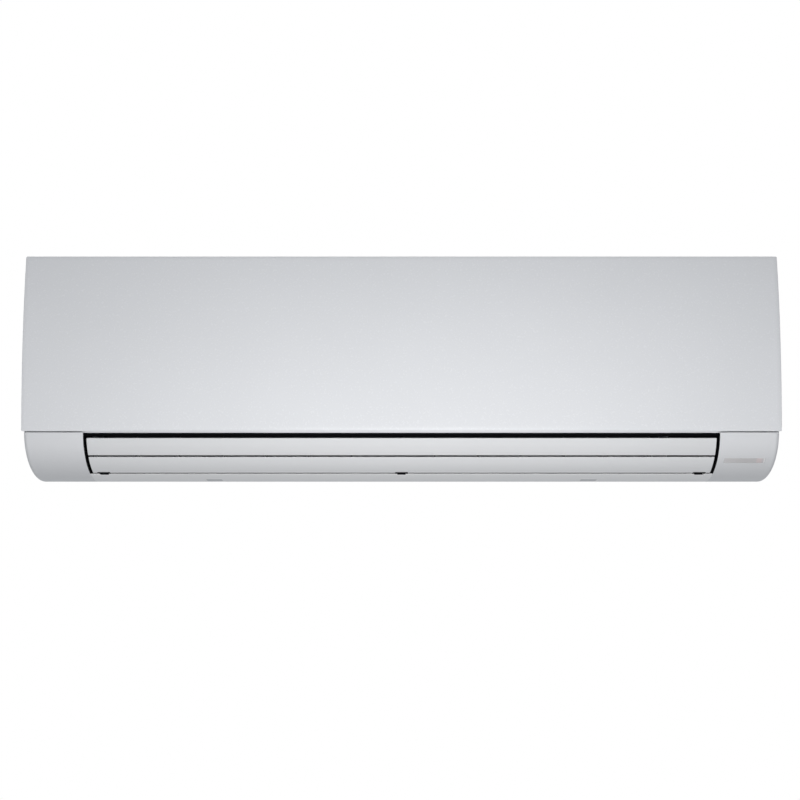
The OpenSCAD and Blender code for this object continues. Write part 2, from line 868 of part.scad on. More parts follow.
// Duct head with the drain pan, end walls, and the gutter to the rear on the left
module outlet_duct() {
  color(pale)
    difference() {
      union() {
        along_x(-outlet_half, outlet_half)
          polygon([
            [pan_back, -50], [pan_back + 2.5, -50], [pan_back + 2.5, -71], [pan_back + 7.5, -75],
            [pan_back + 5, -78.5], [pan_front, -92.6], [pan_front, -70], [pan_front + 2.5, -70],
            [pan_front + 2.5, -89.4], [pan_back, -77]
          ]);
        // End walls behind the opening's own walls
        both_sides()
          along_x(outlet_half - 2.5, outlet_half)
            duct_end_section();
        both_sides()
          along_x(outlet_half - 2.5, outlet_half) pan_end_section();
        // Wall that closes the duct beside the blower
        along_x(right_wall_x + 2.8, outlet_half - 1)
          polygon([
            [pan_back + 5, -78], [pan_back + 7.5, -76], [nose_back + 7.5, -110], [nose_back + 7.5, -139.5],
            [nose_back + 0.3, -139.5], [nose_back + 0.3, -137.5], [nose_back + 5, -137.5],
            [nose_back + 5, -112]
          ]);
        // Gutter
        translate([gutter_x0, pan_front + 1, -100])
          cube([gutter_x1 - gutter_x0, gutter_back - pan_front - 1, 26]);
        translate([gutter_x1 - 1, pan_front + 14, -94]) cube([6, 26, 14]);
      }
      translate([gutter_x0 + 2, pan_front + 3, -97.5])
        cube([gutter_x1 - gutter_x0 - 4, gutter_back - pan_front - 5.5, 30]);
      translate([gutter_x1 - 4, pan_front + 3, -90]) cube([14, 38, 8]);
      translate([spigot_x, gutter_back - 4, spigot_z])
        rotate([-90, 0, 0]) cylinder(h = 6, r = spigot_r - 1.5, $fn = 48);
    }
}

// End of the drain pan
module pan_end_section() {
  polygon([
    [pan_back, -50], [pan_back - 24, -50], [pan_back - 30, -70], [pan_front, -70], [pan_front, -92],
    [pan_back, -80]
  ]);
}

module duct_end_section() {
  polygon([
    [pan_front, -92], [pan_back + 5, -78], [pan_back + 7.5, -75], [pan_back + 20, -88],
    [nose_back, floor_z(nose_back) + 0.3], [nose_front, floor_z(nose_front) + 0.3],
    [pan_back, -118], [pan_back - 26, -104], [pan_front + 6, -96]
  ]);
}

// Spigot on the rear end of the gutter, facing the wall
module drain_spigot() {
  color(dark)
    translate([spigot_x, gutter_back, spigot_z])
      rotate([-90, 0, 0])
        difference() {
          union() {
            cylinder(h = 2.5, r = spigot_r + 2, $fn = 48);
            cylinder(h = spigot_len, r = spigot_r, $fn = 48);
          }
          translate([0, 0, -1]) cylinder(h = spigot_len + 2, r = spigot_r - 1.5, $fn = 48);
        }
}

// Brackets under the duct head that hold the upper louver's pins
module louver_supports() {
  color(pale)
    for (x = [-support_x, 0, support_x])
      along_x(x - 2, x + 2)
        difference() {
          union() {
            polygon([
              [upper_pivot[0] - 6, -91.2], [upper_pivot[0] + 13, -85.75],
              upper_pivot + [3.6, 2.2], upper_pivot + [-3.6, 2.2]
            ]);
            dot_at(upper_pivot, 4.3);
          }
          dot_at(upper_pivot, pivot_pin_r + pivot_gap);
        }
}

// Forward-curved blade section at angle a
module blade(a) {
  rotate(a)
    polygon([
      for (i = [0:2]) let (r = lin(39, wheel_r - 1, i, 2), b = 4 * i * i) [r * cos(b), r * sin(b)],
      for (i = [2:-1:0]) let (r = lin(39, wheel_r - 1, i, 2), b = 4 * i * i + 1.6) [r * cos(b), r * sin(b)]
    ]);
}

// Cross-flow wheel with dividing rings
module blower_wheel() {
  bays = 8;
  pitch = (wheel_right - wheel_left - disc_t) / bays;
  color(dark)
    difference() {
      union() {
        along_x(wheel_left + 0.5, wheel_right - 0.5)
          translate([fan_y, fan_z])
            for (i = [0:blades - 1])
              blade(i * 360 / blades);
        for (i = [1:bays - 1])
          along_x(wheel_left + i * pitch, wheel_left + i * pitch + disc_t)
            translate([fan_y, fan_z])
              difference() {
                circle(r = wheel_r, $fn = 96);
                circle(r = 37, $fn = 96);
              }
        for (x = [wheel_left, wheel_right - disc_t])
          pin_x(x, x + disc_t, [fan_y, fan_z], wheel_r);
        pin_x(wheel_right - 20, wheel_right, [fan_y, fan_z], 14);
        pin_x(wheel_left, wheel_left + 14, [fan_y, fan_z], 10);
      }
      pin_x(wheel_right - 21, wheel_right + 1, [fan_y, fan_z], shaft_r);
      pin_x(wheel_left - 1, wheel_left + 10, [fan_y, fan_z], shaft_r);
    }
}

module wheel_stub() {
  color(steel) pin_x(wheel_left - 22, wheel_left + 10, [fan_y, fan_z], shaft_r);
}

// Bearing in its rubber ring, pressed into the left end wall
module end_bearing() {
  color(dark)
    difference() {
      pin_x(left_wall_x - 6, left_wall_x + 4, [fan_y, fan_z], 11);
      pin_x(left_wall_x - 7, left_wall_x + 5, [fan_y, fan_z], shaft_r + pivot_gap);
    }
}

module fan_motor() {
  color(steel)
    difference() {
      union() {
        pin_x(motor_x0, motor_x1, [fan_y, fan_z], motor_r);
        pin_x(motor_x0 - 6, motor_x1 + 6, [fan_y, fan_z], boss_r);
      }
      pin_x(motor_x0 - 7, motor_x1 + 7, [fan_y, fan_z], shaft_r + pivot_gap);
    }
}

module motor_shaft() {
  color(steel) pin_x(wheel_right - 18, motor_x1 + 10, [fan_y, fan_z], shaft_r);
}

module motor_rings() {
  color(dark)
    for (x = seat_x)
      difference() {
        pin_x(x, x + seat_t, [fan_y, fan_z], ring_r);
        pin_x(x - 1, x + seat_t + 1, [fan_y, fan_z], boss_r);
      }
}

module motor_clamp() {
  color(pale) {
    for (x = seat_x)
      along_x(x, x + seat_t) motor_half(1);
    along_x(seat_x[0], seat_x[1] + seat_t)
      polygon([
        [fan_y - 14, fan_z + 44.5], [fan_y + 34, fan_z + 44.5],
        [fan_y + 34, fan_z + 47.5], [fan_y - 16, fan_z + 47.5]
      ]);
  }
}

// Curved blade of a louver between two angles of the chin's ellipse
module louver_blade(t0, t1) {
  along_x(-louver_half, louver_half)
    chin_band(0, louver_wall, t0, t1, 12);
}

upper_t0 = chin_t_z(-94.7);
upper_t1 = chin_t_z(-120);
lower_t0 = chin_t_z(-121.5);
lower_t1 = chin_t_y(-154);

module upper_louver() {
  mid = chin((upper_t0 + upper_t1) / 2 + 5.2, 1);
  color(white)
    difference() {
      union() {
        louver_blade(upper_t0, upper_t1);
        for (x = [-support_x, 0, support_x]) {
          along_x(x + 2.3, x + 6.3) {
            dot_at(upper_pivot, 4.3);
            bar(upper_pivot, mid, 8);
          }
          pin_x(x - 2.3, x + 4, upper_pivot, pivot_pin_r);
        }
        both_sides() {
          along_x(louver_half - 4, louver_half) {
            dot_at(upper_pivot, 4.3);
            bar(upper_pivot, mid, 8);
          }
          pin_x(louver_half - 2, outlet_half + 2.5, upper_pivot, pivot_pin_r + 1.5);
        }
        // Arm and pin of the link
        along_x(support_x + 11, support_x + 15) {
          dot_at(upper_pivot + link_pin, 3.6);
          bar(upper_pivot + link_pin, upper_pivot, 6.4);
          dot_at(upper_pivot, 4.3);
          bar(upper_pivot, mid, 8);
        }
        pin_x(support_x + 6.8, support_x + 12, upper_pivot + link_pin, pivot_pin_r);
      }
      pin_x(outlet_half - 1, outlet_half + 3, upper_pivot, 2.5);
    }
}

module lower_louver() {
  seat = chin(lower_t1 - 3, 1.4);
  color(white) {
    louver_blade(lower_t0, lower_t1);
    for (x = [-support_x, 0, support_x]) {
      along_x(x - arm_w / 2, x + arm_w / 2) {
        dot_at(lower_pivot, hub_r);
        bar(lower_pivot + [0, 0.6], seat + [0, 2.4], 5);
      }
      pin_x(x - slot_w / 2 - 3, x + slot_w / 2 + 3, lower_pivot, pivot_pin_r);
    }
    // Horn and pin of the link
    along_x(support_x, support_x + arm_w / 2) {
      bar(lower_pivot, lower_pivot + link_pin, 5);
      dot_at(lower_pivot + link_pin, 3.2);
    }
    pin_x(support_x + 5, support_x + 10.2, lower_pivot + link_pin, pivot_pin_r);
  }
}

// Bar that keeps the two louvers parallel
module louver_link() {
  color(pale)
    along_x(support_x + 7, support_x + 10)
      difference() {
        round_bar(upper_pivot + link_pin, lower_pivot + link_pin, 3.5);
        dot_at(upper_pivot + link_pin, pivot_pin_r + pivot_gap);
        dot_at(lower_pivot + link_pin, pivot_pin_r + pivot_gap);
      }
}

// Centre of the stepper motor, 8 mm from its own shaft
stepper_r = 12.5;
stepper_c = upper_pivot + 8 * [0.62, 0.785];

function stepper_ears() = [
  for (s = [-1, 1]) stepper_c + s * 17.5 * [0.785, -0.62]
];

module louver_stepper() {
  x = outlet_half + 5;
  color(steel)
    difference() {
      union() {
        pin_x(x, x + 19, stepper_c, stepper_r);
        along_x(x, x + 0.8) round_bar(stepper_ears()[0], stepper_ears()[1], 3.5);
      }
      pin_x(x - 1, x + 9, upper_pivot, 2.5 + pivot_gap);
      for (p = stepper_ears())
        pin_x(x - 1, x + 2, p, 1.6);
    }
}

module stepper_shaft() {
  color(steel) pin_x(outlet_half - 1, outlet_half + 13, upper_pivot, 2.5);
}

// Places a child drawn in the vane frame: x across, y forward along the floor, z up from it
module in_vane_frame(x) {
  translate([x, vane_y, floor_z(vane_y)])
    rotate([floor_angle, 0, 0])
      mirror([0, 1, 0]) children();
}

// One air vane with its foot pin and rod pin
module vane(x) {
  color(dark)
    in_vane_frame(x) {
      translate([-vane_t / 2, 0, 0])
        rotate([90, 0, 90])
          linear_extrude(vane_t)
            polygon([
              [-14, vane_lift], [16, vane_lift], [16, 6], [7, 6], [7, 12],
              [19, 12], [22, 20], [22, 44], [4, 50], [-10, 30]
            ]);
      translate([0, 0, 0.3]) cylinder(h = vane_lift, r = vane_pin_r, $fn = 40);
      translate([0, vane_arm, 5]) cylinder(h = 8, r = rod_pin_r, $fn = 32);
    }
}

function vane_x(i) = i < vanes_per_bank
  ? left_bank_x + i * vane_pitch
  : right_bank_x + (i - vanes_per_bank) * vane_pitch;

// Rod that turns one bank of vanes together
module vane_rod(x0) {
  last = (vanes_per_bank - 1) * vane_pitch;
  color(dark)
    in_vane_frame(x0)
      difference() {
        translate([-6, vane_arm - 3, 7]) cube([last + 12, 6, 4]);
        for (i = [0:vanes_per_bank - 1])
          translate([i * vane_pitch, vane_arm, 6]) cylinder(h = 6, r = rod_pin_r + pivot_gap, $fn = 32);
      }
}

// Strips on the duct's floor that hold the vanes' foot pins
module vane_rails() {
  last = (vanes_per_bank - 1) * vane_pitch;
  color(pale)
    for (x0 = [left_bank_x, right_bank_x])
      in_vane_frame(x0)
        difference() {
          translate([-14, -6, 0]) cube([last + 28, 12, 3]);
          for (i = [0:vanes_per_bank - 1])
            translate([i * vane_pitch, 0, -1]) cylinder(h = 5, r = vane_pin_r + pivot_gap, $fn = 40);
        }
}

// Electrical box at the right, open to the right, on feet from the chassis wall
module control_box() {
  color(pale)
    difference() {
      union() {
        translate([box_x0, box_y0, box_z0]) cube([box_x1 - box_x0, box_y1 - box_y0, box_z1 - box_z0]);
        for (z = [-40, 90])
          translate([box_x0, box_y1 - eps, z]) cube([2.5, back_y - box_y1 + eps, 16]);
      }
      translate([box_x0 + 2.5, box_y0 + 2.5, box_z0 + 2.5])
        cube([box_x1, box_y1 - box_y0 - 5, box_z1 - box_z0 - 5]);
      // Cable entry in the floor
      translate([box_x1 - 19, box_y1 - 25, box_z0 - 1]) cylinder(h = 5, r = 9, $fn = 48);
    }
}

module control_cover() {
  color(pale)
    difference() {
      translate([box_x1, box_y0, box_z0]) cube([2.5, box_y1 - box_y0, box_z1 - box_z0]);
      for (i = [0:5])
        translate([box_x1 - 1, box_y0 + 30 + i * 14, 70]) cube([5, 6, 32]);
    }
}

// Board on four posts, with its main components
module control_board() {
  x = box_x0 + 2.5;
  color(green) {
    translate([x + 6, box_y0 + 8, box_z0 + 10]) cube([1.6, 84, 160]);
    for (y = [box_y0 + 14, box_y0 + 86], z = [box_z0 + 18, box_z0 + 162])
      translate([x, y, z]) rotate([0, 90, 0]) cylinder(h = 6 + eps, r = 3, $fn = 32);
    translate([x + 7.5, box_y0 + 18, 30]) cube([26, 32, 30]);
    translate([x + 7.5, box_y0 + 60, 64]) cube([15, 19, 15]);
    translate([x + 7.5, box_y0 + 60, 40]) cube([15, 19, 15]);
    for (z = [-30, -8])
      translate([x + 7.5, box_y0 + 34, z]) rotate([0, 90, 0]) cylinder(h = 24, r = 8, $fn = 40);
  }
}

module terminal_block() {
  x = box_x0 + 2.5;
  color(white)
    difference() {
      translate([x, box_y0 + 95, box_z0 + 12]) cube([22, 26, 72]);
      for (i = [0:5])
        translate([x + 12, box_y0 + 94, box_z0 + 16 + i * 11]) cube([11, 20, 9]);
    }
}

// Board behind the right cheek's window, tilted with the skin
module display_board() {
  along = unit([chin(36, 0)[0] - chin(34, 0)[0], chin(36, 0)[1] - chin(34, 0)[1]]);
  tilt = atan2(along[1], along[0]);
  c = chin(chin_t_z(window_z), 0);
  inward = [-along[1], along[0]];
  color(green)
    along_x(window_x0 + 24, window_x1 + 3)
      translate(c + 9 * inward)
        rotate(tilt) {
          translate([-11, 0]) square([22, 1.6]);
          translate([-3, -6.2]) square([6, 6.3]);
        }
}

module display_window() {
  color([0.66, 0.66, 0.68]) window_space(0);
}

// Push button, flush with the right shoulder: head, collar behind the wall, and stem
module manual_button() {
  y = curve_y(front_r, button_z);
  color(pale)
    translate([button_x, y, button_z])
      rotate([-90, 0, 0]) {
        translate([0, 0, 0.4]) cylinder(h = 4.4, r = button_r, $fn = 48);
        translate([0, 0, 3.2]) cylinder(h = 1.6, r = button_r + 1.5, $fn = 48);
        translate([0, 0, 4.5]) cylinder(h = 4.1, r = 2.2, $fn = 40);
      }
}

// Tact switch on the front of the control box
module manual_switch() {
  y = curve_y(front_r, button_z) + 11;
  color(dark)
    translate([button_x - 6, y, button_z - 6]) cube([12, box_y0 - y, 12]);
}

module case_screws() {
  color(steel)
    both_sides()
      translate([cap_x, (cap_y0 + cap_y1) / 2, -155.2]) {
        cylinder(h = 2.2, r = 4, $fn = 32);
        cylinder(h = 16, r = 1.75, $fn = 32);
      }
}

// Screws of the stepper motor and of the motor clamp
module small_screws() {
  color(steel) {
    for (p = stepper_ears()) {
      pin_x(outlet_half + 1.5, outlet_half + 6.5, p, 1.15);
      pin_x(outlet_half + 5.8, outlet_half + 7.4, p, 2.6);
    }
  }
}

module screw_caps() {
  color(white)
    both_sides() cap_space(0);
}

wall_plate();
chassis();
front_frame();
front_panel();
mirror([1, 0, 0]) filter_frame();  // filter_frame_left
filter_frame();  // filter_frame_right
mirror([1, 0, 0]) filter_net();  // filter_net_left
filter_net();  // filter_net_right
coil_slab(front_slab);  // coil_front_lower
coil_slab(upper_slab);  // coil_front_upper
coil_slab(rear_slab);  // coil_rear
coil_end_plate(coil_x0 - end_plate_t);  // coil_end_plate_left
coil_end_plate(coil_x1);  // coil_end_plate_right
coil_bends();
supply_pipe();
return_pipe();
air_vent();
outlet_duct();
drain_spigot();
louver_supports();
blower_wheel();
wheel_stub();
end_bearing();
fan_motor();
motor_shaft();
motor_rings();
motor_clamp();
upper_louver();
lower_louver();
louver_link();
louver_stepper();
stepper_shaft();
vane(vane_x(0));  // vane_1
vane(vane_x(1));  // vane_2
vane(vane_x(2));  // vane_3
vane(vane_x(3));  // vane_4
vane(vane_x(4));  // vane_5
vane(vane_x(5));  // vane_6
vane(vane_x(6));  // vane_7
vane(vane_x(7));  // vane_8
vane(vane_x(8));  // vane_9
vane(vane_x(9));  // vane_10
vane(vane_x(10));  // vane_11
vane(vane_x(11));  // vane_12
vane_rod(left_bank_x);  // vane_rod_left
vane_rod(right_bank_x);  // vane_rod_right
vane_rails();
control_box();
control_cover();
control_board();
terminal_block();
display_board();
display_window();
manual_button();
manual_switch();
case_screws();
small_screws();
screw_caps();
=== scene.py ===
import math

import bmesh
import bpy
import numpy as np
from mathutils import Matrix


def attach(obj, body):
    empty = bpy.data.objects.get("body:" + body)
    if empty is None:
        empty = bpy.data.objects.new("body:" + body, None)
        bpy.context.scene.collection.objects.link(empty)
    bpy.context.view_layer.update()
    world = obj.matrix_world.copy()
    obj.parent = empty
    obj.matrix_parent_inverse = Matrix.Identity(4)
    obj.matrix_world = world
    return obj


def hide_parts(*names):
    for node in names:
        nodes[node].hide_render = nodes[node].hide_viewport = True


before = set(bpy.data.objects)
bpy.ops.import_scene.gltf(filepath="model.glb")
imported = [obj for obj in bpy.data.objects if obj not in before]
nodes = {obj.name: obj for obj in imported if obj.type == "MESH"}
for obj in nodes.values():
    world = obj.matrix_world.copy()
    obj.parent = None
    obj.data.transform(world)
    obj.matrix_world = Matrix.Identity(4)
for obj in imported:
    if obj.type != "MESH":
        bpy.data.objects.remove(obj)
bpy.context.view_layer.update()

MM = 0.001

# ---------------------------------------------------------------- camera
# The unit is photographed square on, from about 3.3 m in front of its panel and level with the
# panel's foot, through a long lens that is shifted up to frame it.
VIEW_ANGLE = math.radians(19.38)
camera = bpy.data.objects.new("camera", bpy.data.cameras.new("camera"))
bpy.context.scene.collection.objects.link(camera)
camera.location = (-0.0022, -3.53, -0.085)
camera.rotation_euler = (math.pi / 2, 0, 0)
camera.data.sensor_width = 36.0
camera.data.lens = camera.data.sensor_width / 2 / math.tan(VIEW_ANGLE / 2)
camera.data.shift_y = 0.039
camera.data.clip_end = 200.0
bpy.context.scene.camera = camera
bpy.context.scene.view_settings.view_transform = "Standard"

# ---------------------------------------------------------------- studio light
# One soft box in front, two weaker ones above and at the left, and a grey room that is a little
# dimmer at its ceiling. To the camera the room is white paper.
world = bpy.data.worlds.new("room")
bpy.context.scene.world = world
world.use_nodes = True
room = world.node_tree
room.nodes.clear()
seen = room.nodes.new("ShaderNodeLightPath")
fill = room.nodes.new("ShaderNodeBackground")
fill.inputs["Color"].default_value = (0.93, 0.96, 1.0, 1.0)
towards = room.nodes.new("ShaderNodeTexCoord")
split = room.nodes.new("ShaderNodeSeparateXYZ")
ceiling = room.nodes.new("ShaderNodeMapRange")
ceiling.inputs["From Min"].default_value = -1.0
ceiling.inputs["From Max"].default_value = 1.0
ceiling.inputs["To Min"].default_value = 0.50
ceiling.inputs["To Max"].default_value = 0.38
room.links.new(towards.outputs["Generated"], split.inputs["Vector"])
room.links.new(split.outputs["Z"], ceiling.inputs["Value"])
room.links.new(ceiling.outputs["Result"], fill.inputs["Strength"])
paper = room.nodes.new("ShaderNodeBackground")
paper.inputs["Color"].default_value = (1.0, 1.0, 1.0, 1.0)
paper.inputs["Strength"].default_value = 1.0
pick = room.nodes.new("ShaderNodeMixShader")
out = room.nodes.new("ShaderNodeOutputWorld")
room.links.new(seen.outputs["Is Camera Ray"], pick.inputs["Fac"])
room.links.new(fill.outputs[0], pick.inputs[1])
room.links.new(paper.outputs[0], pick.inputs[2])
room.links.new(pick.outputs[0], out.inputs["Surface"])


def soft_box(name, place, aim, width, height, power):
    """A rectangular lamp at a place, turned to a point."""
    lamp = bpy.data.lights.new(name, "AREA")
    lamp.shape = "RECTANGLE"
    lamp.size = width
    lamp.size_y = height
    lamp.energy = power
    holder = bpy.data.objects.new(name, lamp)
    bpy.context.scene.collection.objects.link(holder)
    holder.location = place
    away = np.array(place) - np.array(aim)
    pitch = math.atan2(math.hypot(away[0], away[1]), away[2])
    holder.rotation_euler = (pitch, 0, math.atan2(away[0], -away[1]))
    return holder


front_box = soft_box("front_box", (0.05, -1.2, -0.35), (0.02, -0.2, -0.08), 0.5, 0.3, 6.9)
front_box.visible_glossy = False
front_box.visible_camera = False
soft_box("top_box", (0.0, -0.5, 2.2), (0.0, -0.1, 0.0), 2.0, 1.4, 2.5)
soft_box("side_box", (-2.4, -1.2, 0.5), (0.0, -0.1, 0.0), 1.0, 1.2, 2.5)

# ---------------------------------------------------------------- floor
# A pale sheet of paper 1.2 m under the unit. The camera sees it as white, apart from the shadow.
floor = bpy.data.objects.new("floor", bpy.data.meshes.new("floor"))
bpy.context.scene.collection.objects.link(floor)
FLOOR_HALF, FLOOR_Z = 3.0, -1.3
corners = [(x * FLOOR_HALF, y * FLOOR_HALF, FLOOR_Z)
           for x, y in ((-1, -1), (1, -1), (1, 1), (-1, 1))]
floor.data.from_pydata(corners, [], [(0, 1, 2, 3)])
paper_white = bpy.data.materials.new("paper")
paper_white.use_nodes = True
tree = paper_white.node_tree
tree.nodes.clear()
matt = tree.nodes.new("ShaderNodeBsdfDiffuse")
matt.inputs["Color"].default_value = (0.86, 0.86, 0.86, 1)
glow = tree.nodes.new("ShaderNodeEmission")
glow.inputs["Strength"].default_value = 1.0
seen = tree.nodes.new("ShaderNodeLightPath")
share = tree.nodes.new("ShaderNodeMath")
share.operation = "MULTIPLY"
share.inputs[1].default_value = 0.93
mix = tree.nodes.new("ShaderNodeMixShader")
sink = tree.nodes.new("ShaderNodeOutputMaterial")
tree.links.new(seen.outputs["Is Camera Ray"], share.inputs[0])
tree.links.new(share.outputs[0], mix.inputs["Fac"])
tree.links.new(matt.outputs[0], mix.inputs[1])
tree.links.new(glow.outputs[0], mix.inputs[2])
tree.links.new(mix.outputs[0], sink.inputs["Surface"])
floor.data.materials.append(paper_white)

# ---------------------------------------------------------------- wall plate
# Pressed from zinc-coated sheet steel and screwed flat to the wall. The zinc shows its soft
# crystals, the pressing a fine drawn grain along X.


def finish(name, colour, rough, metallic=0.0, coat=0.0, coat_rough=0.1):
    """A surface shader with a colour, and the parts that the other finishes add to."""
    material = bpy.data.materials.new(name)
    material.use_nodes = True
    tree = material.node_tree
    shader = tree.nodes["Principled BSDF"]
    shader.inputs["Base Color"].default_value = (*colour, 1.0)
    shader.inputs["Roughness"].default_value = rough
    shader.inputs["Metallic"].default_value = metallic
    shader.inputs["Coat Weight"].default_value = coat
    shader.inputs["Coat Roughness"].default_value = coat_rough
    place = tree.nodes.new("ShaderNodeTexCoord")
    return material, tree, shader, place.outputs["Object"]


def stretched(tree, place, scale):
    """Object coordinates, scaled differently along each axis."""
    mapping = tree.nodes.new("ShaderNodeMapping")
    mapping.inputs["Scale"].default_value = scale
    tree.links.new(place, mapping.inputs["Vector"])
    return mapping.outputs["Vector"]


def cloud(tree, place, scale, detail=4.0):
    """Soft noise from 0 to 1."""
    noise = tree.nodes.new("ShaderNodeTexNoise")
    noise.inputs["Scale"].default_value = scale
    noise.inputs["Detail"].default_value = detail
    tree.links.new(place, noise.inputs["Vector"])
    return noise.outputs["Fac"]


def spread(tree, value, low, high, socket):
    """Maps a 0 to 1 pattern onto the range low to high of a socket."""
    span = tree.nodes.new("ShaderNodeMapRange")
    span.inputs["To Min"].default_value = low
    span.inputs["To Max"].default_value = high
    tree.links.new(value, span.inputs["Value"])
    tree.links.new(span.outputs["Result"], socket)


def tinted(tree, value, dark, light, socket):
    """Colours a 0 to 1 pattern from dark to light."""
    ramp = tree.nodes.new("ShaderNodeValToRGB")
    ramp.color_ramp.elements[0].position = 0.3
    ramp.color_ramp.elements[0].color = (*dark, 1.0)
    ramp.color_ramp.elements[1].position = 0.7
    ramp.color_ramp.elements[1].color = (*light, 1.0)
    tree.links.new(value, ramp.inputs["Fac"])
    tree.links.new(ramp.outputs["Color"], socket)


def raised(tree, value, shader, height, strength=0.5):
    """Reads a pattern as a surface height in metres."""
    bump = tree.nodes.new("ShaderNodeBump")
    bump.inputs["Distance"].default_value = height
    bump.inputs["Strength"].default_value = strength
    tree.links.new(value, bump.inputs["Height"])
    tree.links.new(bump.outputs["Normal"], shader.inputs["Normal"])


def wear(node, material):
    """Gives a part of the frame its finish."""
    data = nodes[node].data
    data.materials.clear()
    data.materials.append(material)


def zinc_sheet(name, dark, light):
    """Zinc-coated sheet: pale crystals a few millimetres across, and a drawn grain."""
    material, tree, shader, place = finish(name, light, 0.42, metallic=0.85)
    crystal = tree.nodes.new("ShaderNodeTexVoronoi")
    crystal.inputs["Scale"].default_value = 170.0
    tree.links.new(place, crystal.inputs["Vector"])
    tinted(tree, crystal.outputs["Color"], dark, light, shader.inputs["Base Color"])
    grain = cloud(tree, stretched(tree, place, (60, 900, 900)), 1.0, 3.0)
    spread(tree, grain, 0.34, 0.52, shader.inputs["Roughness"])
    raised(tree, grain, shader, 0.00005, 0.25)
    return material


zinc = zinc_sheet("zinc_sheet", (0.40, 0.41, 0.42), (0.58, 0.59, 0.60))
wear("wall_plate", zinc)

# ---------------------------------------------------------------- rear chassis
# Moulded in light grey plastic, in one piece with the blower's scroll and the motor seat.
# Its surface keeps the fine spark texture of the mould.


def moulded_grey(name, colour, rough=0.5, grain=1400.0):
    """Matt moulded plastic: a fine spark texture over a slow change of tone."""
    material, tree, shader, place = finish(name, colour, rough)
    tone = cloud(tree, place, 9.0, 2.0)
    tinted(tree, tone, tuple(c * 0.96 for c in colour), colour, shader.inputs["Base Color"])
    spark = cloud(tree, place, grain, 2.0)
    spread(tree, spark, rough - 0.06, rough + 0.08, shader.inputs["Roughness"])
    raised(tree, spark, shader, 0.00006, 0.35)
    return material


chassis_grey = moulded_grey("chassis_plastic", (0.60, 0.61, 0.62))
wear("chassis", chassis_grey)

# ---------------------------------------------------------------- coil
# Three blocks of blue-coated aluminium fins on copper tubes, between steel end plates. Each fin
# is a thin stamped leaf, so each block is a row of leaves with the tubes through them.
COIL_X = (-428 * MM, 368 * MM)
FIN_PITCH = 1.9 * MM
FIN_THICK = 0.16 * MM
SLAB_DEPTH = 26 * MM
TUBE_R, TUBE_START, BEND_PITCH, TUBE_PAIR = 3.4 * MM, 13 * MM, 22.05 * MM, 14 * MM
SLABS = {
    "coil_front_lower": ((-201 * MM, -62 * MM), math.radians(83.6), 84 * MM, 3),
    "coil_front_upper": ((-189 * MM, 38 * MM), math.radians(56.2), 104 * MM, 4),
    "coil_rear": ((-88 * MM, 130 * MM), math.radians(-66.6), 130 * MM, 3),
}


def carry(section, x0, x1):
    """Carries a closed (y, z) outline along X from x0 to x1. Gives the points and the faces."""
    section = np.asarray(section, float)
    n = len(section)
    points = np.empty((2, n, 3))
    points[:, :, 1:] = section
    points[0, :, 0] = x0
    points[1, :, 0] = x1
    ring = np.arange(n)
    after = (ring + 1) % n
    sides = np.stack([ring, after, after + n, ring + n], 1)
    return points.reshape(-1, 3), [*sides.tolist(), ring[::-1].tolist(), (ring + n).tolist()]


def put_together(name, parts, material, body, replaced=(), round_by=0.0, fold=35.0):
    """Joins parts of points and faces into one piece that rides on a body."""
    points = np.concatenate([p for p, _ in parts])
    faces, base = [], 0
    for p, f in parts:
        faces += [[i + base for i in face] for face in f]
        base += len(p)
    mesh = bpy.data.meshes.new(name)
    mesh.from_pydata(points.tolist(), [], faces)
    work = bmesh.new()
    work.from_mesh(mesh)
    bmesh.ops.remove_doubles(work, verts=work.verts, dist=1e-7)
    bmesh.ops.dissolve_degenerate(work, edges=work.edges, dist=1e-7)
    bmesh.ops.recalc_face_normals(work, faces=work.faces)
    work.to_mesh(mesh)
    work.free()
    mesh.shade_smooth()
    mesh.set_sharp_from_angle(angle=math.radians(fold))
    mesh.materials.append(material)
    piece = bpy.data.objects.new(name, mesh)
    bpy.context.scene.collection.objects.link(piece)
    if round_by:
        bevel = piece.modifiers.new("rounding", "BEVEL")
        bevel.width = round_by
        bevel.segments = 2
        bevel.limit_method = "ANGLE"
        bevel.angle_limit = math.radians(fold)
        bevel.harden_normals = True
    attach(piece, body)
    if replaced:
        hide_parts(*replaced)
    return piece


def circle(centre, radius, count=32):
    """Points of a circle in (y, z)."""
    a = np.linspace(0, 2 * np.pi, count, endpoint=False)
    return np.stack([centre[0] + radius * np.cos(a), centre[1] + radius * np.sin(a)], 1)


def fin_block(start, angle, length):
    """Leaves of one block: the outline start + length along + depth across, repeated along X."""
    along = np.array([math.cos(angle), math.sin(angle)])
    across = np.array([math.sin(angle), -math.cos(angle)])
    corner = np.array(start)
    far = corner + along * length
    outline = np.array([corner, far, far + across * SLAB_DEPTH, corner + across * SLAB_DEPTH])
    count = int((COIL_X[1] - COIL_X[0]) / FIN_PITCH)
    lefts = COIL_X[0] + (np.arange(count) + 0.5) * (COIL_X[1] - COIL_X[0]) / count
    points = np.zeros((count, 2, 4, 3))
    points[..., 1:] = outline
    points[:, 0, :, 0] = lefts[:, None] - FIN_THICK / 2
    points[:, 1, :, 0] = lefts[:, None] + FIN_THICK / 2
    one = np.array([[0, 1, 2, 3], [7, 6, 5, 4],
                    [0, 4, 5, 1], [1, 5, 6, 2], [2, 6, 7, 3], [3, 7, 4, 0]])
    faces = (one[None] + 8 * np.arange(count)[:, None, None]).reshape(-1, 4)
    return points.reshape(-1, 3), faces.tolist()


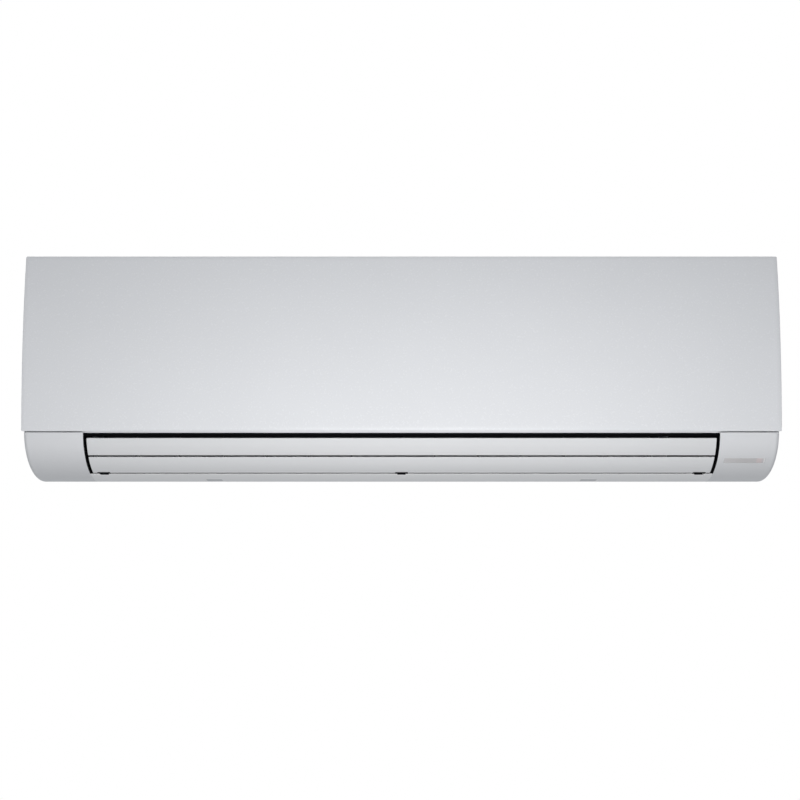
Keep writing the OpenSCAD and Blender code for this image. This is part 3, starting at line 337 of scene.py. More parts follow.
def tube_places(start, angle, bends):
    """Centres of the tubes in one block, two rows at the pitch of the return bends."""
    along = np.array([math.cos(angle), math.sin(angle)])
    across = np.array([math.sin(angle), -math.cos(angle)])
    steps = TUBE_START + BEND_PITCH * np.arange(bends)
    middle = np.array(start) + steps[:, None] * along + SLAB_DEPTH / 2 * across
    return np.concatenate([middle - TUBE_PAIR / 2 * along, middle + TUBE_PAIR / 2 * along])


fin_blue, tree, shader, place = finish("fin_blue", (0.42, 0.56, 0.68), 0.38, metallic=0.7)
edge_tone = cloud(tree, stretched(tree, place, (900, 40, 40)), 1.0, 2.0)
tinted(tree, edge_tone, (0.34, 0.47, 0.58), (0.50, 0.63, 0.74), shader.inputs["Base Color"])
spread(tree, edge_tone, 0.3, 0.5, shader.inputs["Roughness"])


def copper_tube(name):
    """Drawn copper: warm, with darker heat marks and a drawn grain."""
    material, tree, shader, place = finish(name, (0.80, 0.36, 0.20), 0.3, metallic=1.0)
    heat = cloud(tree, place, 35.0, 5.0)
    tinted(tree, heat, (0.62, 0.24, 0.13), (0.86, 0.42, 0.26), shader.inputs["Base Color"])
    spread(tree, heat, 0.22, 0.42, shader.inputs["Roughness"])
    return material


copper = copper_tube("copper_tube")
for node, (start, angle, length, bends) in SLABS.items():
    leaves = fin_block(start, angle, length)
    put_together(node.replace("coil", "fins"), [leaves], fin_blue, "case", (node,))
    centres = tube_places(start, angle, bends)
    tubes = [carry(circle(centre, TUBE_R, 12), *COIL_X) for centre in centres]
    put_together(node.replace("coil", "tubes"), tubes, copper, "case")
wear("coil_bends", copper)
wear("coil_end_plate_left", zinc)
wear("coil_end_plate_right", zinc)

# ---------------------------------------------------------------- water pipes
# Bent copper pipe, silver-soldered into the coil, with a turned brass union on each end. The
# brass begins where the pipe enters the hexagon, and the thread where the hexagon ends.
UNION_Y, THREAD_Y = -25.1 * MM, -16.9 * MM
pipe_metal, tree, shader, place = finish("pipe_and_union", (0.80, 0.36, 0.20), 0.3, metallic=1.0)
heat = cloud(tree, place, 30.0, 5.0)
copper_tone = tree.nodes.new("ShaderNodeValToRGB")
copper_tone.color_ramp.elements[0].color = (0.60, 0.23, 0.12, 1)
copper_tone.color_ramp.elements[1].color = (0.86, 0.43, 0.27, 1)
tree.links.new(heat, copper_tone.inputs["Fac"])
brass_tone = tree.nodes.new("ShaderNodeValToRGB")
brass_tone.color_ramp.elements[0].color = (0.62, 0.43, 0.16, 1)
brass_tone.color_ramp.elements[1].color = (0.83, 0.64, 0.30, 1)
tree.links.new(heat, brass_tone.inputs["Fac"])
parts = tree.nodes.new("ShaderNodeSeparateXYZ")
tree.links.new(place, parts.inputs["Vector"])
is_union = tree.nodes.new("ShaderNodeMath")
is_union.operation = "GREATER_THAN"
is_union.inputs[1].default_value = UNION_Y
tree.links.new(parts.outputs["Y"], is_union.inputs[0])
metal = tree.nodes.new("ShaderNodeMix")
metal.data_type = "RGBA"
tree.links.new(is_union.outputs[0], metal.inputs["Factor"])
tree.links.new(copper_tone.outputs["Color"], metal.inputs[6])
tree.links.new(brass_tone.outputs["Color"], metal.inputs[7])
tree.links.new(metal.outputs[2], shader.inputs["Base Color"])
thread = tree.nodes.new("ShaderNodeTexWave")
thread.bands_direction = "Y"
thread.inputs["Scale"].default_value = 175.0
tree.links.new(place, thread.inputs["Vector"])
depth = tree.nodes.new("ShaderNodeMath")
depth.operation = "MULTIPLY"
tree.links.new(thread.outputs["Fac"], depth.inputs[0])
on_thread = tree.nodes.new("ShaderNodeMath")
on_thread.operation = "GREATER_THAN"
on_thread.inputs[1].default_value = THREAD_Y
tree.links.new(parts.outputs["Y"], on_thread.inputs[0])
tree.links.new(on_thread.outputs[0], depth.inputs[1])
raised(tree, depth.outputs[0], shader, 0.0009, 1.0)
wear("supply_pipe", pipe_metal)
wear("return_pipe", pipe_metal)

brass, tree, shader, place = finish("turned_brass", (0.80, 0.61, 0.28), 0.28, metallic=1.0)
turned = cloud(tree, stretched(tree, place, (200, 200, 2500)), 1.0, 2.0)
tinted(tree, turned, (0.66, 0.47, 0.19), (0.84, 0.66, 0.33), shader.inputs["Base Color"])
spread(tree, turned, 0.2, 0.36, shader.inputs["Roughness"])
wear("air_vent", brass)

# ---------------------------------------------------------------- blower
# A long wheel of glass-filled black plastic on steel stubs, a rubber-mounted bearing at the left
# and a motor in rubber rings at the right, under a plastic clamp.
wheel_black = moulded_grey("wheel_plastic", (0.035, 0.036, 0.04), 0.42, 2200.0)
wear("blower_wheel", wheel_black)


def turned_steel(name, colour):
    """Turned or cold-headed steel: a fine ring grain, slightly uneven gloss."""
    material, tree, shader, place = finish(name, colour, 0.3, metallic=1.0)
    lathe = cloud(tree, stretched(tree, place, (2600, 300, 300)), 1.0, 2.0)
    spread(tree, lathe, 0.2, 0.42, shader.inputs["Roughness"])
    raised(tree, lathe, shader, 0.00004, 0.3)
    return material


def soft_rubber(name):
    """Black rubber: matt, with a dusty bloom."""
    material, tree, shader, place = finish(name, (0.02, 0.02, 0.021), 0.75)
    bloom = cloud(tree, place, 160.0, 4.0)
    tinted(tree, bloom, (0.014, 0.014, 0.015), (0.04, 0.04, 0.042), shader.inputs["Base Color"])
    raised(tree, bloom, shader, 0.0001, 0.3)
    return material


bright_steel = turned_steel("bright_steel", (0.60, 0.60, 0.61))
rubber = soft_rubber("black_rubber")
for node in ("wheel_stub", "motor_shaft", "stepper_shaft", "case_screws", "small_screws"):
    wear(node, bright_steel)
for node in ("end_bearing", "motor_rings", "drain_spigot"):
    wear(node, rubber)
wear("fan_motor", zinc_sheet("motor_can", (0.46, 0.47, 0.48), (0.62, 0.63, 0.64)))
wear("motor_clamp", chassis_grey)

# ---------------------------------------------------------------- outlet duct and air vanes
# The duct head and drain pan are one moulding. It and the vanes, rods and rails are painted
# near-black, with almost no reflection, as painted shade, so that the open outlet looks deep and
# empty.
shade_black = moulded_grey("painted_shade_plastic", (0.005, 0.005, 0.006), 0.75)
shade_black.node_tree.nodes["Principled BSDF"].inputs["Specular IOR Level"].default_value = 0.08
wear("outlet_duct", shade_black)
wear("vane_rails", shade_black)
# Vanes and rods: near-black, painted shade deep in the outlet.
vane_black = moulded_grey("vane_plastic", (0.03, 0.031, 0.034), 0.5, 1800.0)
for node in [f"vane_{i}" for i in range(1, 13)] + ["vane_rod_left", "vane_rod_right"]:
    wear(node, vane_black)

# ---------------------------------------------------------------- louvers
# Two long white blades that follow the chin's curve when shut. Each is moulded with its arms and
# pins, and its edges are rolled, so that they catch the light. The upper one hangs from three
# brackets; the lower one turns in the lip. Arms and pins are painted black as painted shade, so
# they vanish in the gaps.
CHIN_BACK, CHIN_Z, CHIN_RUN, CHIN_RISE = 45 * MM, -86 * MM, 183 * MM, 74 * MM


def chin(t, d=0.0):
    """Point on the chin: an ellipse at angle t from the horizontal, drawn in by d."""
    t = np.asarray(t, float)
    return np.stack([-CHIN_BACK - (CHIN_RUN - d) * np.cos(t),
                     CHIN_Z - (CHIN_RISE - d) * np.sin(t)], -1)


def chin_at_z(z):
    """Angle on the chin at a height."""
    return math.asin((CHIN_Z - z * MM) / CHIN_RISE)


def chin_at_y(y):
    """Angle on the chin at a distance from the wall."""
    return math.acos((-CHIN_BACK - y * MM) / CHIN_RUN)


def rolled_strip(t0, t1, thick):
    """Outline of a blade: the chin's curve outside, the same curve drawn in by its thickness
    inside, and a half round at each edge."""
    r = thick / 2
    half = np.linspace(0, np.pi, 9)[1:-1]
    ends = []
    for t, side in ((t1, 1.0), (t0, -1.0)):
        middle = chin(t, r)
        step = (chin(t + 1e-4, r) - chin(t - 1e-4, r)) * side
        step /= np.linalg.norm(step)
        outward = chin(t, 0.0) - middle
        outward /= np.linalg.norm(outward)
        turn = side * np.cos(half)[:, None] * outward + np.sin(half)[:, None] * step
        ends.append(middle + r * turn)
    t = np.linspace(t0, t1, 25)
    return np.concatenate([chin(t, 0.0), ends[0], chin(t[::-1], thick), ends[1]])


def shell(outer, inner, keep):
    """A closed wall between two grids of points. Cells where keep is false are holes, and every
    open edge is closed between the two grids."""
    nu, nv = keep.shape
    at = np.arange((nu + 1) * (nv + 1)).reshape(nu + 1, nv + 1)
    deep = at + at.size
    a, b, c, d = at[:-1, :-1], at[1:, :-1], at[1:, 1:], at[:-1, 1:]
    faces = [np.stack([a, b, c, d], -1)[keep], np.stack([a, d, c, b], -1)[keep] + at.size]
    solid = np.pad(keep, 1)
    here = solid[1:-1, 1:-1]
    for beside, p, q in ((solid[:-2, 1:-1], a, d), (solid[2:, 1:-1], b, c),
                         (solid[1:-1, :-2], a, b), (solid[1:-1, 2:], d, c)):
        edge = here & ~beside
        faces.append(np.stack([p[edge], q[edge], q[edge] + deep[0, 0], p[edge] + deep[0, 0]], -1))
    points = np.concatenate([outer.reshape(-1, 3), inner.reshape(-1, 3)])
    used, compact = np.unique(np.concatenate(faces), return_inverse=True)
    return points[used], compact.reshape(-1, 4).tolist()


def bar(p, q, width):
    """Outline of a straight bar between two points of the (y, z) plane."""
    p, q = np.array(p, float), np.array(q, float)
    d = (q - p) / np.linalg.norm(q - p)
    s = np.array([-d[1], d[0]]) * width / 2
    return np.array([p + s, p - s, q - s, q + s])


def at_side(side, x0, x1):
    """The span from x0 to x1 at the right side, or its mirror image at the left."""
    return sorted((side * x0, side * x1))


def satin_white(name, colour, rough=0.3):
    """Glossy moulded white: a faint orange-peel surface under a clear skin, and a tone that
    drifts by a hundredth over a hand's width."""
    material, tree, shader, place = finish(name, colour, rough, coat=0.35, coat_rough=0.12)
    drift = cloud(tree, place, 7.0, 2.0)
    tinted(tree, drift, tuple(c * 0.985 for c in colour), colour, shader.inputs["Base Color"])
    peel = cloud(tree, place, 420.0, 2.0)
    spread(tree, peel, rough - 0.03, rough + 0.04, shader.inputs["Roughness"])
    raised(tree, peel, shader, 0.00003, 0.15)
    return material


# The blades are one white plastic. The lower one is painted lighter (painted light) and the upper
# one darker (painted shade), for the light each gets.
lower_blade_lit_white = satin_white("lower_blade_lit_white", (0.825, 0.826, 0.83))
upper_blade_shaded_white = satin_white("upper_blade_shaded_white", (0.74, 0.741, 0.746))
UPPER_PIVOT, LOWER_PIVOT = (-203 * MM, -114 * MM), (-145 * MM, -144.3 * MM)
LINK_THROW, LINK_ANGLE = 14 * MM, math.radians(60)
BLADE_HALF, BLADE_WALL = 444.5 * MM, 2.2 * MM
SUPPORT, SLOT, SLOT_HALF = 420 * MM, 429 * MM, 9 * MM
HUB_R, ARM_WIDTH, PIN_R, END_PIN_R = 4.3 * MM, 8 * MM, 2 * MM, 3.5 * MM
TOP_INSET, SPLIT_INSET = 0.014, 0.018


def arm(pivot, foot, x0, x1, hub=HUB_R, width=ARM_WIDTH, shy=0.05 * MM):
    """A round hub at the pivot and a straight arm to its foot, thinner than the hub by shy."""
    return [carry(circle(pivot, hub), x0, x1), carry(bar(pivot, foot, width), x0 + shy, x1 - shy)]


# Upper blade: its edges stand back by small angles, for the gap above it and half the split below
upper_from, upper_to = chin_at_z(-94.7), chin_at_z(-120)
upper = rolled_strip(upper_from + TOP_INSET, upper_to - SPLIT_INSET, BLADE_WALL)
put_together("upper_blade", [carry(upper, -BLADE_HALF, BLADE_HALF)], upper_blade_shaded_white, "louver_upper",
             ("upper_louver",), 0.5 * MM)

link_pin = LINK_THROW * np.array([math.cos(LINK_ANGLE), math.sin(LINK_ANGLE)])
link_top, link_foot = UPPER_PIVOT + link_pin, LOWER_PIVOT + link_pin
root = chin((upper_from + upper_to) / 2 + math.radians(5.2), 3.6 * MM)
upper_arms = []
for x in (-SUPPORT, 0.0, SUPPORT):
    upper_arms += arm(UPPER_PIVOT, root, x + 2.3 * MM, x + 6.3 * MM)
    upper_arms.append(carry(circle(UPPER_PIVOT, PIN_R), x - 2.3 * MM, x + 4 * MM))
for side in (-1, 1):
    pin = at_side(side, BLADE_HALF - 2 * MM, BLADE_HALF + 6 * MM)
    upper_arms += arm(UPPER_PIVOT, root, *at_side(side, BLADE_HALF - 4 * MM, BLADE_HALF))
    upper_arms.append(carry(circle(UPPER_PIVOT, END_PIN_R), *pin))
upper_arms += arm(link_top, UPPER_PIVOT, SUPPORT + 11 * MM, SUPPORT + 15 * MM, 3.6 * MM, 6.4 * MM)
upper_arms += arm(UPPER_PIVOT, root, SUPPORT + 11.1 * MM, SUPPORT + 14.9 * MM)
upper_arms.append(carry(circle(link_top, PIN_R), SUPPORT + 6.8 * MM, SUPPORT + 12 * MM))
# The arms and pins wear the painted-shade black, so the gaps around them look dark.
put_together("upper_arms", upper_arms, shade_black, "louver_upper", (), 0.4 * MM)


def swept(across, down):
    """Grid of points: across gives (x, depth) for each column, down the (y, z) row at a depth."""
    yz = down(across[:, 1])
    x = np.broadcast_to(across[:, :1, None], (*yz.shape[:2], 1))
    return np.concatenate([x, yz], 2)


def at_depth(columns, depth):
    """Columns x, each at the same depth, as swept takes them."""
    return np.stack([columns, np.full_like(columns, depth)], 1)


# Lower blade: the last row of cells is left out at the three hinges, as notches
lower_from, lower_to = chin_at_z(-121.5), chin_at_y(-154)
notch = np.array([SLOT_HALF, SLOT - SLOT_HALF, SLOT + SLOT_HALF, BLADE_HALF])
columns = np.concatenate([-notch[::-1], notch])
rows = np.append(np.linspace(lower_from + 0.007, lower_to - 0.030, 20), lower_to - 0.006)
keep = np.ones((len(columns) - 1, len(rows) - 1), bool)
keep[[1, 3, 5], -1] = False
skins = [swept(at_depth(columns, depth), lambda d: chin(rows, d[:, None]))
         for depth in (0.0, BLADE_WALL)]
put_together("lower_blade", [shell(*skins, keep)], lower_blade_lit_white, "louver_lower",
             ("lower_louver",), 0.8 * MM)

arm_top = LOWER_PIVOT + np.array([0, 0.6 * MM])
arm_foot = chin(lower_to - math.radians(3), 1.4 * MM) + np.array([0, 2.4 * MM])
lower_arms = []
for x in (-SLOT, 0.0, SLOT):
    lower_arms += [carry(circle(LOWER_PIVOT, 3.6 * MM), x - 6 * MM, x + 6 * MM),
                   carry(bar(arm_top, arm_foot, 5 * MM), x - 5.95 * MM, x + 5.95 * MM),
                   carry(circle(LOWER_PIVOT, PIN_R), x - 12 * MM, x + 12 * MM)]
lower_arms += arm(link_foot, LOWER_PIVOT, SUPPORT, SUPPORT + 6 * MM, 3.2 * MM, 5 * MM, 0.1 * MM)
lower_arms.append(carry(circle(link_foot, PIN_R), SUPPORT + 5 * MM, SUPPORT + 10.2 * MM))
# The lower arms and pins wear the painted-shade black, so the hinge slots look dark.
put_together("lower_arms", lower_arms, shade_black, "louver_lower", (), 0.4 * MM)

wear("louver_supports", shade_black)
wear("louver_link", shade_black)
wear("louver_stepper", zinc)

# ---------------------------------------------------------------- controls
# A grey box with a zinc cover, the green board with its parts in it, the terminal block, and the
# small board behind the indicator window.
box_grey = moulded_grey("control_box_plastic", (0.55, 0.56, 0.57))
wear("control_box", box_grey)
wear("control_cover", zinc)
wear("terminal_block", moulded_grey("terminal_plastic", (0.72, 0.72, 0.70), 0.4))


def circuit_board(name):
    """Green solder mask: lighter tracks in a fine rectangular net, and tinned pads."""
    material, tree, shader, place = finish(name, (0.02, 0.16, 0.06), 0.3, coat=0.3)
    tracks = tree.nodes.new("ShaderNodeTexBrick")
    tracks.inputs["Scale"].default_value = 140.0
    tracks.inputs["Mortar Size"].default_value = 0.06
    tracks.inputs["Color1"].default_value = (0.015, 0.13, 0.05, 1)
    tracks.inputs["Color2"].default_value = (0.02, 0.17, 0.065, 1)
    tracks.inputs["Mortar"].default_value = (0.05, 0.28, 0.12, 1)
    turn = tree.nodes.new("ShaderNodeMapping")
    turn.inputs["Rotation"].default_value = (0, math.pi / 2, 0)
    tree.links.new(place, turn.inputs["Vector"])
    tree.links.new(turn.outputs["Vector"], tracks.inputs["Vector"])
    tree.links.new(tracks.outputs["Color"], shader.inputs["Base Color"])
    return material


board_green = circuit_board("board_green")
wear("control_board", board_green)
wear("display_board", board_green)
wear("manual_switch", vane_black)
wear("manual_button", moulded_grey("button_plastic", (0.62, 0.63, 0.64), 0.35))

# ---------------------------------------------------------------- filters
# Each filter is a grey moulded grid with a fine black net in its groove. It follows the front
# of the unit, bends over at the top and ends near the wall. The net is woven from 0.1 mm thread.
filter_grey = moulded_grey("filter_plastic", (0.50, 0.51, 0.53), 0.45)
wear("filter_frame_left", filter_grey)
wear("filter_frame_right", filter_grey)
ARC_Y, ARC_Z = 480 * MM, -85 * MM
BEND_Z, BEND_R, FILTER_R = 96 * MM, 50 * MM, 688 * MM
BEND_Y = ARC_Y - math.sqrt((FILTER_R - BEND_R) ** 2 - (BEND_Z - ARC_Z) ** 2)
FILTER_FOOT, FILTER_BACK = -66 * MM, -45 * MM


def filter_path(d):
    """The filter's line in (y, z), drawn in by d: an arc up the front, a tighter arc at the top
    and a straight run to the rear."""
    r = FILTER_R - d
    low = math.asin((FILTER_FOOT - ARC_Z) / r)
    tilt = math.atan2(BEND_Z - ARC_Z, ARC_Y - BEND_Y)
    a = np.linspace(low, tilt, 40)
    front = np.stack([ARC_Y - r * np.cos(a), ARC_Z + r * np.sin(a)], 1)
    a = np.linspace(tilt, np.pi / 2, 20)[1:]
    bend = np.stack([BEND_Y - (BEND_R - d) * np.cos(a), BEND_Z + (BEND_R - d) * np.sin(a)], 1)
    return np.concatenate([front, bend, [[FILTER_BACK, BEND_Z + BEND_R - d]]])


def net_sheet(name, x0, x1):
    """A thin closed sheet on the filter's line, with a map in metres along and across it."""
    outer, inner = filter_path(-0.3 * MM), filter_path(0.3 * MM)
    sheet = carry(np.concatenate([outer, inner[::-1]]), x0, x1)
    piece = put_together(name, [sheet], net_black, name.replace("net_", "filter_"),
                         (name.replace("net_", "filter_net_"),), fold=50.0)
    mesh = piece.data
    place = np.empty(len(mesh.vertices) * 3)
    mesh.vertices.foreach_get("co", place)
    place = place.reshape(-1, 3)
    line = filter_path(0.0)
    run = np.concatenate([[0], np.cumsum(np.linalg.norm(np.diff(line, axis=0), axis=1))])
    near = np.argmin(np.linalg.norm(place[:, None, 1:] - line[None], axis=2), axis=1)
    corner = np.empty(len(mesh.loops), int)
    mesh.loops.foreach_get("vertex_index", corner)
    threads = mesh.uv_layers.new(name="threads")
    threads.data.foreach_set("uv", np.stack([place[corner, 0], run[near[corner]]], 1).ravel())
    return piece


net_black, tree, shader, place = finish("net_black", (0.03, 0.03, 0.034), 0.55)
map_node = tree.nodes.new("ShaderNodeUVMap")
map_node.uv_map = "threads"
weave = tree.nodes.new("ShaderNodeTexBrick")
weave.offset = 0.0
weave.inputs["Scale"].default_value = 600.0
weave.inputs["Brick Width"].default_value = 1.0
weave.inputs["Row Height"].default_value = 1.0
weave.inputs["Mortar Size"].default_value = 0.16
weave.inputs["Color1"].default_value = (0.012, 0.012, 0.014, 1)
weave.inputs["Color2"].default_value = (0.016, 0.016, 0.018, 1)
weave.inputs["Mortar"].default_value = (0.11, 0.11, 0.12, 1)
tree.links.new(map_node.outputs["UV"], weave.inputs["Vector"])
tree.links.new(weave.outputs["Color"], shader.inputs["Base Color"])
raised(tree, weave.outputs["Fac"], shader, 0.0001, 0.4)
net_sheet("net_left", -434.9 * MM, -21.1 * MM)
net_sheet("net_right", 21.1 * MM, 434.9 * MM)

# ---------------------------------------------------------------- front casing
# One white moulding: two cheeks with the chin's curve and a 6 mm radius round to the side walls,
# the underside and lip with three hinge slots, the top with its intake slots, and the posts and
# rails inside that carry the filters.
casing_white = satin_white("casing_white", (0.76, 0.763, 0.775))
# The underside and lip are the same moulding as the cheeks, but are painted much lighter: painted
# light, standing in for light from below.
lip_painted_light_white = satin_white("lip_painted_light_white", (0.955, 0.95, 0.95))
HALF, OPENING, WALL = 533 * MM, 449.2 * MM, 2.5 * MM
SIDE_R, SIDE_STRIP = 6 * MM, 4 * MM
CASE_TOP, WALL_GAP = 161 * MM, -2 * MM
WINDOW_X, WINDOW_Z, WINDOW_GAP = np.array([459, 517]), np.array([-123.75, -130.25]), 0.15


def chin_line(lines, flat, roll=0.0):
    """Rows down the chin and along the underside to the wall, as functions of depth d. A row of
    the chin may have a further depth of its own, such as at an edge that rolls in."""
    def at(depth):
        d = depth[:, None] + roll
        underside = CHIN_Z - CHIN_RISE + d[:, -1:]
        level = np.stack(np.broadcast_arrays(flat, underside), -1)
        return np.concatenate([chin(lines, d), level], 1)
    return at


def cheek(window):
    """Skin of the right cheek: flat across, then round the side radius and a strip down the
    side. Its top edge rolls in under the panel by a quarter of an ellipse."""
    hole = (WINDOW_X + (-WINDOW_GAP, WINDOW_GAP)) * MM
    flat = np.array([OPENING, *(hole if window else ()), HALF - SIDE_R])
    turn = np.linspace(0, np.pi / 2, 10)[1:]
    outside = np.concatenate([
        at_depth(flat, 0.0),
        np.stack([HALF - SIDE_R + SIDE_R * np.sin(turn), SIDE_R - SIDE_R * np.cos(turn)], 1),
        [[HALF, SIDE_R + SIDE_STRIP]]])
    small = SIDE_R - WALL
    inside = np.concatenate([
        at_depth(flat, WALL),
        np.stack([HALF - SIDE_R + small * np.sin(turn), SIDE_R - small * np.cos(turn)], 1),
        [[HALF - WALL, SIDE_R + SIDE_STRIP]]])
    t0, t1, t2 = (chin_at_z(z) for z in (-86.4, WINDOW_Z[0] + WINDOW_GAP, WINDOW_Z[1] - WINDOW_GAP))
    rolled, roll_depth = 0.024, 1.0 * MM
    lines = np.concatenate([t0 + np.linspace(0, rolled, 6), np.linspace(t0 + rolled, t1, 13)[1:],
                            np.linspace(t1, t2, 4)[1:], np.linspace(t2, np.pi / 2, 22)[1:]])
    roll = roll_depth * (1 - np.sqrt(1 - (1 - np.clip((lines - t0) / rolled, 0, 1)) ** 2))
    down = chin_line(lines, np.linspace(-CHIN_BACK, WALL_GAP, 5)[1:], roll)
    keep = np.ones((len(outside) - 1, len(lines) + 3), bool)
    if window:
        keep[1, 17:20] = False
    return shell(swept(outside, down), swept(inside, down), keep)


def mirrored(part):
    """The same part at the other side."""
    points, faces = part
    return points * (-1, 1, 1), faces


def arc(radius, z0, z1, count=36):
    """The front's curve at a radius, between two heights, in (y, z)."""
    z = np.linspace(z0, z1, count)
    return np.stack([ARC_Y - np.sqrt(radius ** 2 - (z - ARC_Z) ** 2), z], 1)


def band(r0, r1, z0, z1, count=36):
    """Outline between two radii of the front's curve."""
    return np.concatenate([arc(r0, z0, z1, count), arc(r1, z0, z1, count)[::-1]])


# Cheeks, with a ledge under the panel's foot
cheeks = [cheek(True), mirrored(cheek(False))]
top_t, ledge_t = chin_at_z(-87), chin_at_z(-89.5)
ledge = np.array([chin(top_t, 0.3 * MM), chin(top_t, 12 * MM), chin(ledge_t, 12 * MM),
                  chin(ledge_t, 1 * MM)]) - (0, 0.05 * MM)
for side in (-1, 1):
    cheeks.append(carry(ledge, *at_side(side, OPENING + 0.1 * MM, HALF - 2 * MM)))
put_together("casing_cheeks", cheeks, casing_white, "case", ("front_frame",),
             0.45 * MM, 40)

# Underside and lip: columns at the slots and at the screw caps, rows at their edges
CAP_X, CAP_HALF, CAP_Y, CAP_GAP = 274 * MM, 11.5 * MM, np.array([-109, -70]), 0.2
cap_hole = CAP_X + np.array([-1, 1]) * (CAP_HALF + CAP_GAP * MM)
edges = np.array([SLOT_HALF, *cap_hole, SLOT - SLOT_HALF, SLOT + SLOT_HALF, OPENING])
columns = np.concatenate([-edges[::-1], edges])
nose = np.array([chin_at_y(y) for y in (-149, -145, -141.5, -138, -134.5)])
cap_rows = [chin_at_y(y) for y in CAP_Y + (-CAP_GAP, CAP_GAP)]
rows = np.concatenate([nose, np.linspace(nose[-1], cap_rows[0], 5)[1:],
                       np.linspace(*cap_rows, 7)[1:], np.linspace(cap_rows[1], np.pi / 2, 4)[1:]])
level = np.array([-30, -16, -2]) * MM
keep = np.ones((len(columns) - 1, len(rows) + 2), bool)
keep[[1, 5, 9], 0] = False
keep[[3, 7], 8:14] = False
thin = np.zeros(len(rows))
thin[:2] = -1.3 * MM, -0.6 * MM
lip = [shell(swept(at_depth(columns, 0.0), chin_line(rows, level)),
             swept(at_depth(columns, WALL), chin_line(rows, level, thin)), keep)]
LIP_END, FLOOR_TILT = 448 * MM, math.radians(26.05)
tongue = np.concatenate([
    chin(np.linspace(chin_at_y(-146.5), chin_at_y(-134), 8), 0.15 * MM),
    [[-134 * MM, -135.3 * MM], [-146.5 * MM, -135.3 * MM - 12.5 * MM * math.tan(FLOOR_TILT)]]])
# Painted shade in the recesses: black plates at the backs of the hinge slots, a black strip in the
# slit under the lower blade, and black walls at the outlet's ends.
slit_shade_strip = np.array([[-147.3, -145.5], [-146.4, -145.9], [-146.4, -141.6], [-147.3, -142.1]]) * MM
slot_back = np.array([[-135.2, -149], [-134.2, -149.5], [-134.2, -130], [-135.2, -130]]) * MM
shade_plates = [carry(slot_back, x - SLOT_HALF - 2 * MM, x + SLOT_HALF + 2 * MM)
          for x in (-SLOT, 0.0, SLOT)]
between = [(SLOT_HALF, SLOT - SLOT_HALF), (SLOT + SLOT_HALF, LIP_END)]
for left, right in between + [(-right, -left) for left, right in between]:
    lip.append(carry(tongue, left, right))
    shade_plates.append(carry(slit_shade_strip, left, right))
# Underside, lip and tongue wear the painted-light white.
put_together("casing_lip", lip, lip_painted_light_white, "case", (), 0.45 * MM, 40)
end_t = np.linspace(chin_at_z(-88), chin_at_y(-134), 40)
end_wall = np.concatenate([chin(end_t, 0.5 * MM), chin(end_t[::-1], 26 * MM)])
for side in (-1, 1):
    shade_plates.append(carry(end_wall, *at_side(side, LIP_END + 0.05 * MM, LIP_END + WALL)))
put_together("outlet_shade_plates", shade_plates, shade_black, "case")

# Side walls: plain sheets, each with the outline of a knock-out at its lower rear
SEAT_R, SEAT_FOOT, SEAT_TOP = 706.5 * MM, -80.5 * MM, 155 * MM
SPLIT_Y, SPLIT_Z = -62 * MM, -90 * MM


def oblong(y0, y1, z0, z1):
    """Outline of a rectangle in (y, z), from numbers in mm."""
    return np.array([[y0, z0], [y1, z0], [y1, z1], [y0, z1]]) * MM


chin_in = chin(np.linspace(np.pi / 2, chin_at_z(-90), 40), SIDE_R + SIDE_STRIP - 0.1 * MM)
chin_front = chin_in[chin_in[:, 0] <= SPLIT_Y]
upper_side = np.concatenate([
    [[WALL_GAP, SPLIT_Z], [chin_in[-1, 0], SPLIT_Z], [chin(top_t, 9.9 * MM)[0], -87 * MM],
     [-220.5 * MM, -87 * MM], [-220.5 * MM, SEAT_FOOT]],
    arc(SEAT_R, SEAT_FOOT, SEAT_TOP),
    [[-167.5 * MM, SEAT_TOP], [-167.5 * MM, CASE_TOP], [WALL_GAP, CASE_TOP]]])
front_side = np.concatenate([chin_front, [[SPLIT_Y, SPLIT_Z], [SPLIT_Y, chin_front[0, 1]]]])
rear_strip, knock_out = oblong(-12, -2, -150.1, -90), oblong(-60.8, -13.2, -150.1, -91.2)
groove = oblong(-62.4, -11.6, -150.6, -89.6)
sides = []
for side in (-1, 1):
    for outline in (upper_side, front_side, rear_strip, knock_out):
        sides.append(carry(outline, *at_side(side, HALF - WALL, HALF)))
    sides.append(carry(groove, *at_side(side, HALF - WALL + 0.05 * MM, HALF - 0.8 * MM)))
put_together("casing_sides", sides, casing_white, "case")

# Top: a level sheet with five rows of fourteen slots, each 62 mm by 15 mm
slot_x = np.add.outer(71 * np.arange(14), (23, 85)).ravel() * MM - HALF
slot_y = np.add.outer(24 * np.arange(5), (-152, -137)).ravel() * MM
x = np.concatenate([[-HALF + WALL], slot_x, [HALF - WALL]])
y = np.concatenate([[-166 * MM], slot_y, [WALL_GAP]])
grid = np.stack(np.meshgrid(x, y, indexing="ij"), -1)
top = np.concatenate([grid, np.full((*grid.shape[:2], 1), CASE_TOP)], 2)
keep = np.ones((len(x) - 1, len(y) - 1), bool)
keep[1::2, 1::2] = False
grille = [shell(top, top - (0, 0, WALL), keep)]
put_together("casing_top", grille, casing_white, "case", (), 0.6 * MM, 40)

# Inside: shoulders beside the filters, bottom bar, centre column, head bar and filter rails
POST_R, POST_BACK, POST_TOP, BAR_END = 700 * MM, 697.5 * MM, 128 * MM, 448 * MM
HINGE, HINGE_R = (-176 * MM, 156 * MM), 5.4 * MM
head = np.array([[-166, 148], [-166, 160.9], [-163.5, 160.9], [-163.5, 147]]) * MM


def post(foot):
    """Outline of a post: along the front's curve from its foot, then back to the head bar."""
    front, back = arc(POST_R, foot, POST_TOP), arc(POST_BACK, foot, POST_TOP)
    return np.concatenate([front, head, back[::-1]])


def follow(d0, d1):
    """Outline between two depths behind the filter's line."""
    return np.concatenate([filter_path(d0), filter_path(d1)[::-1]])


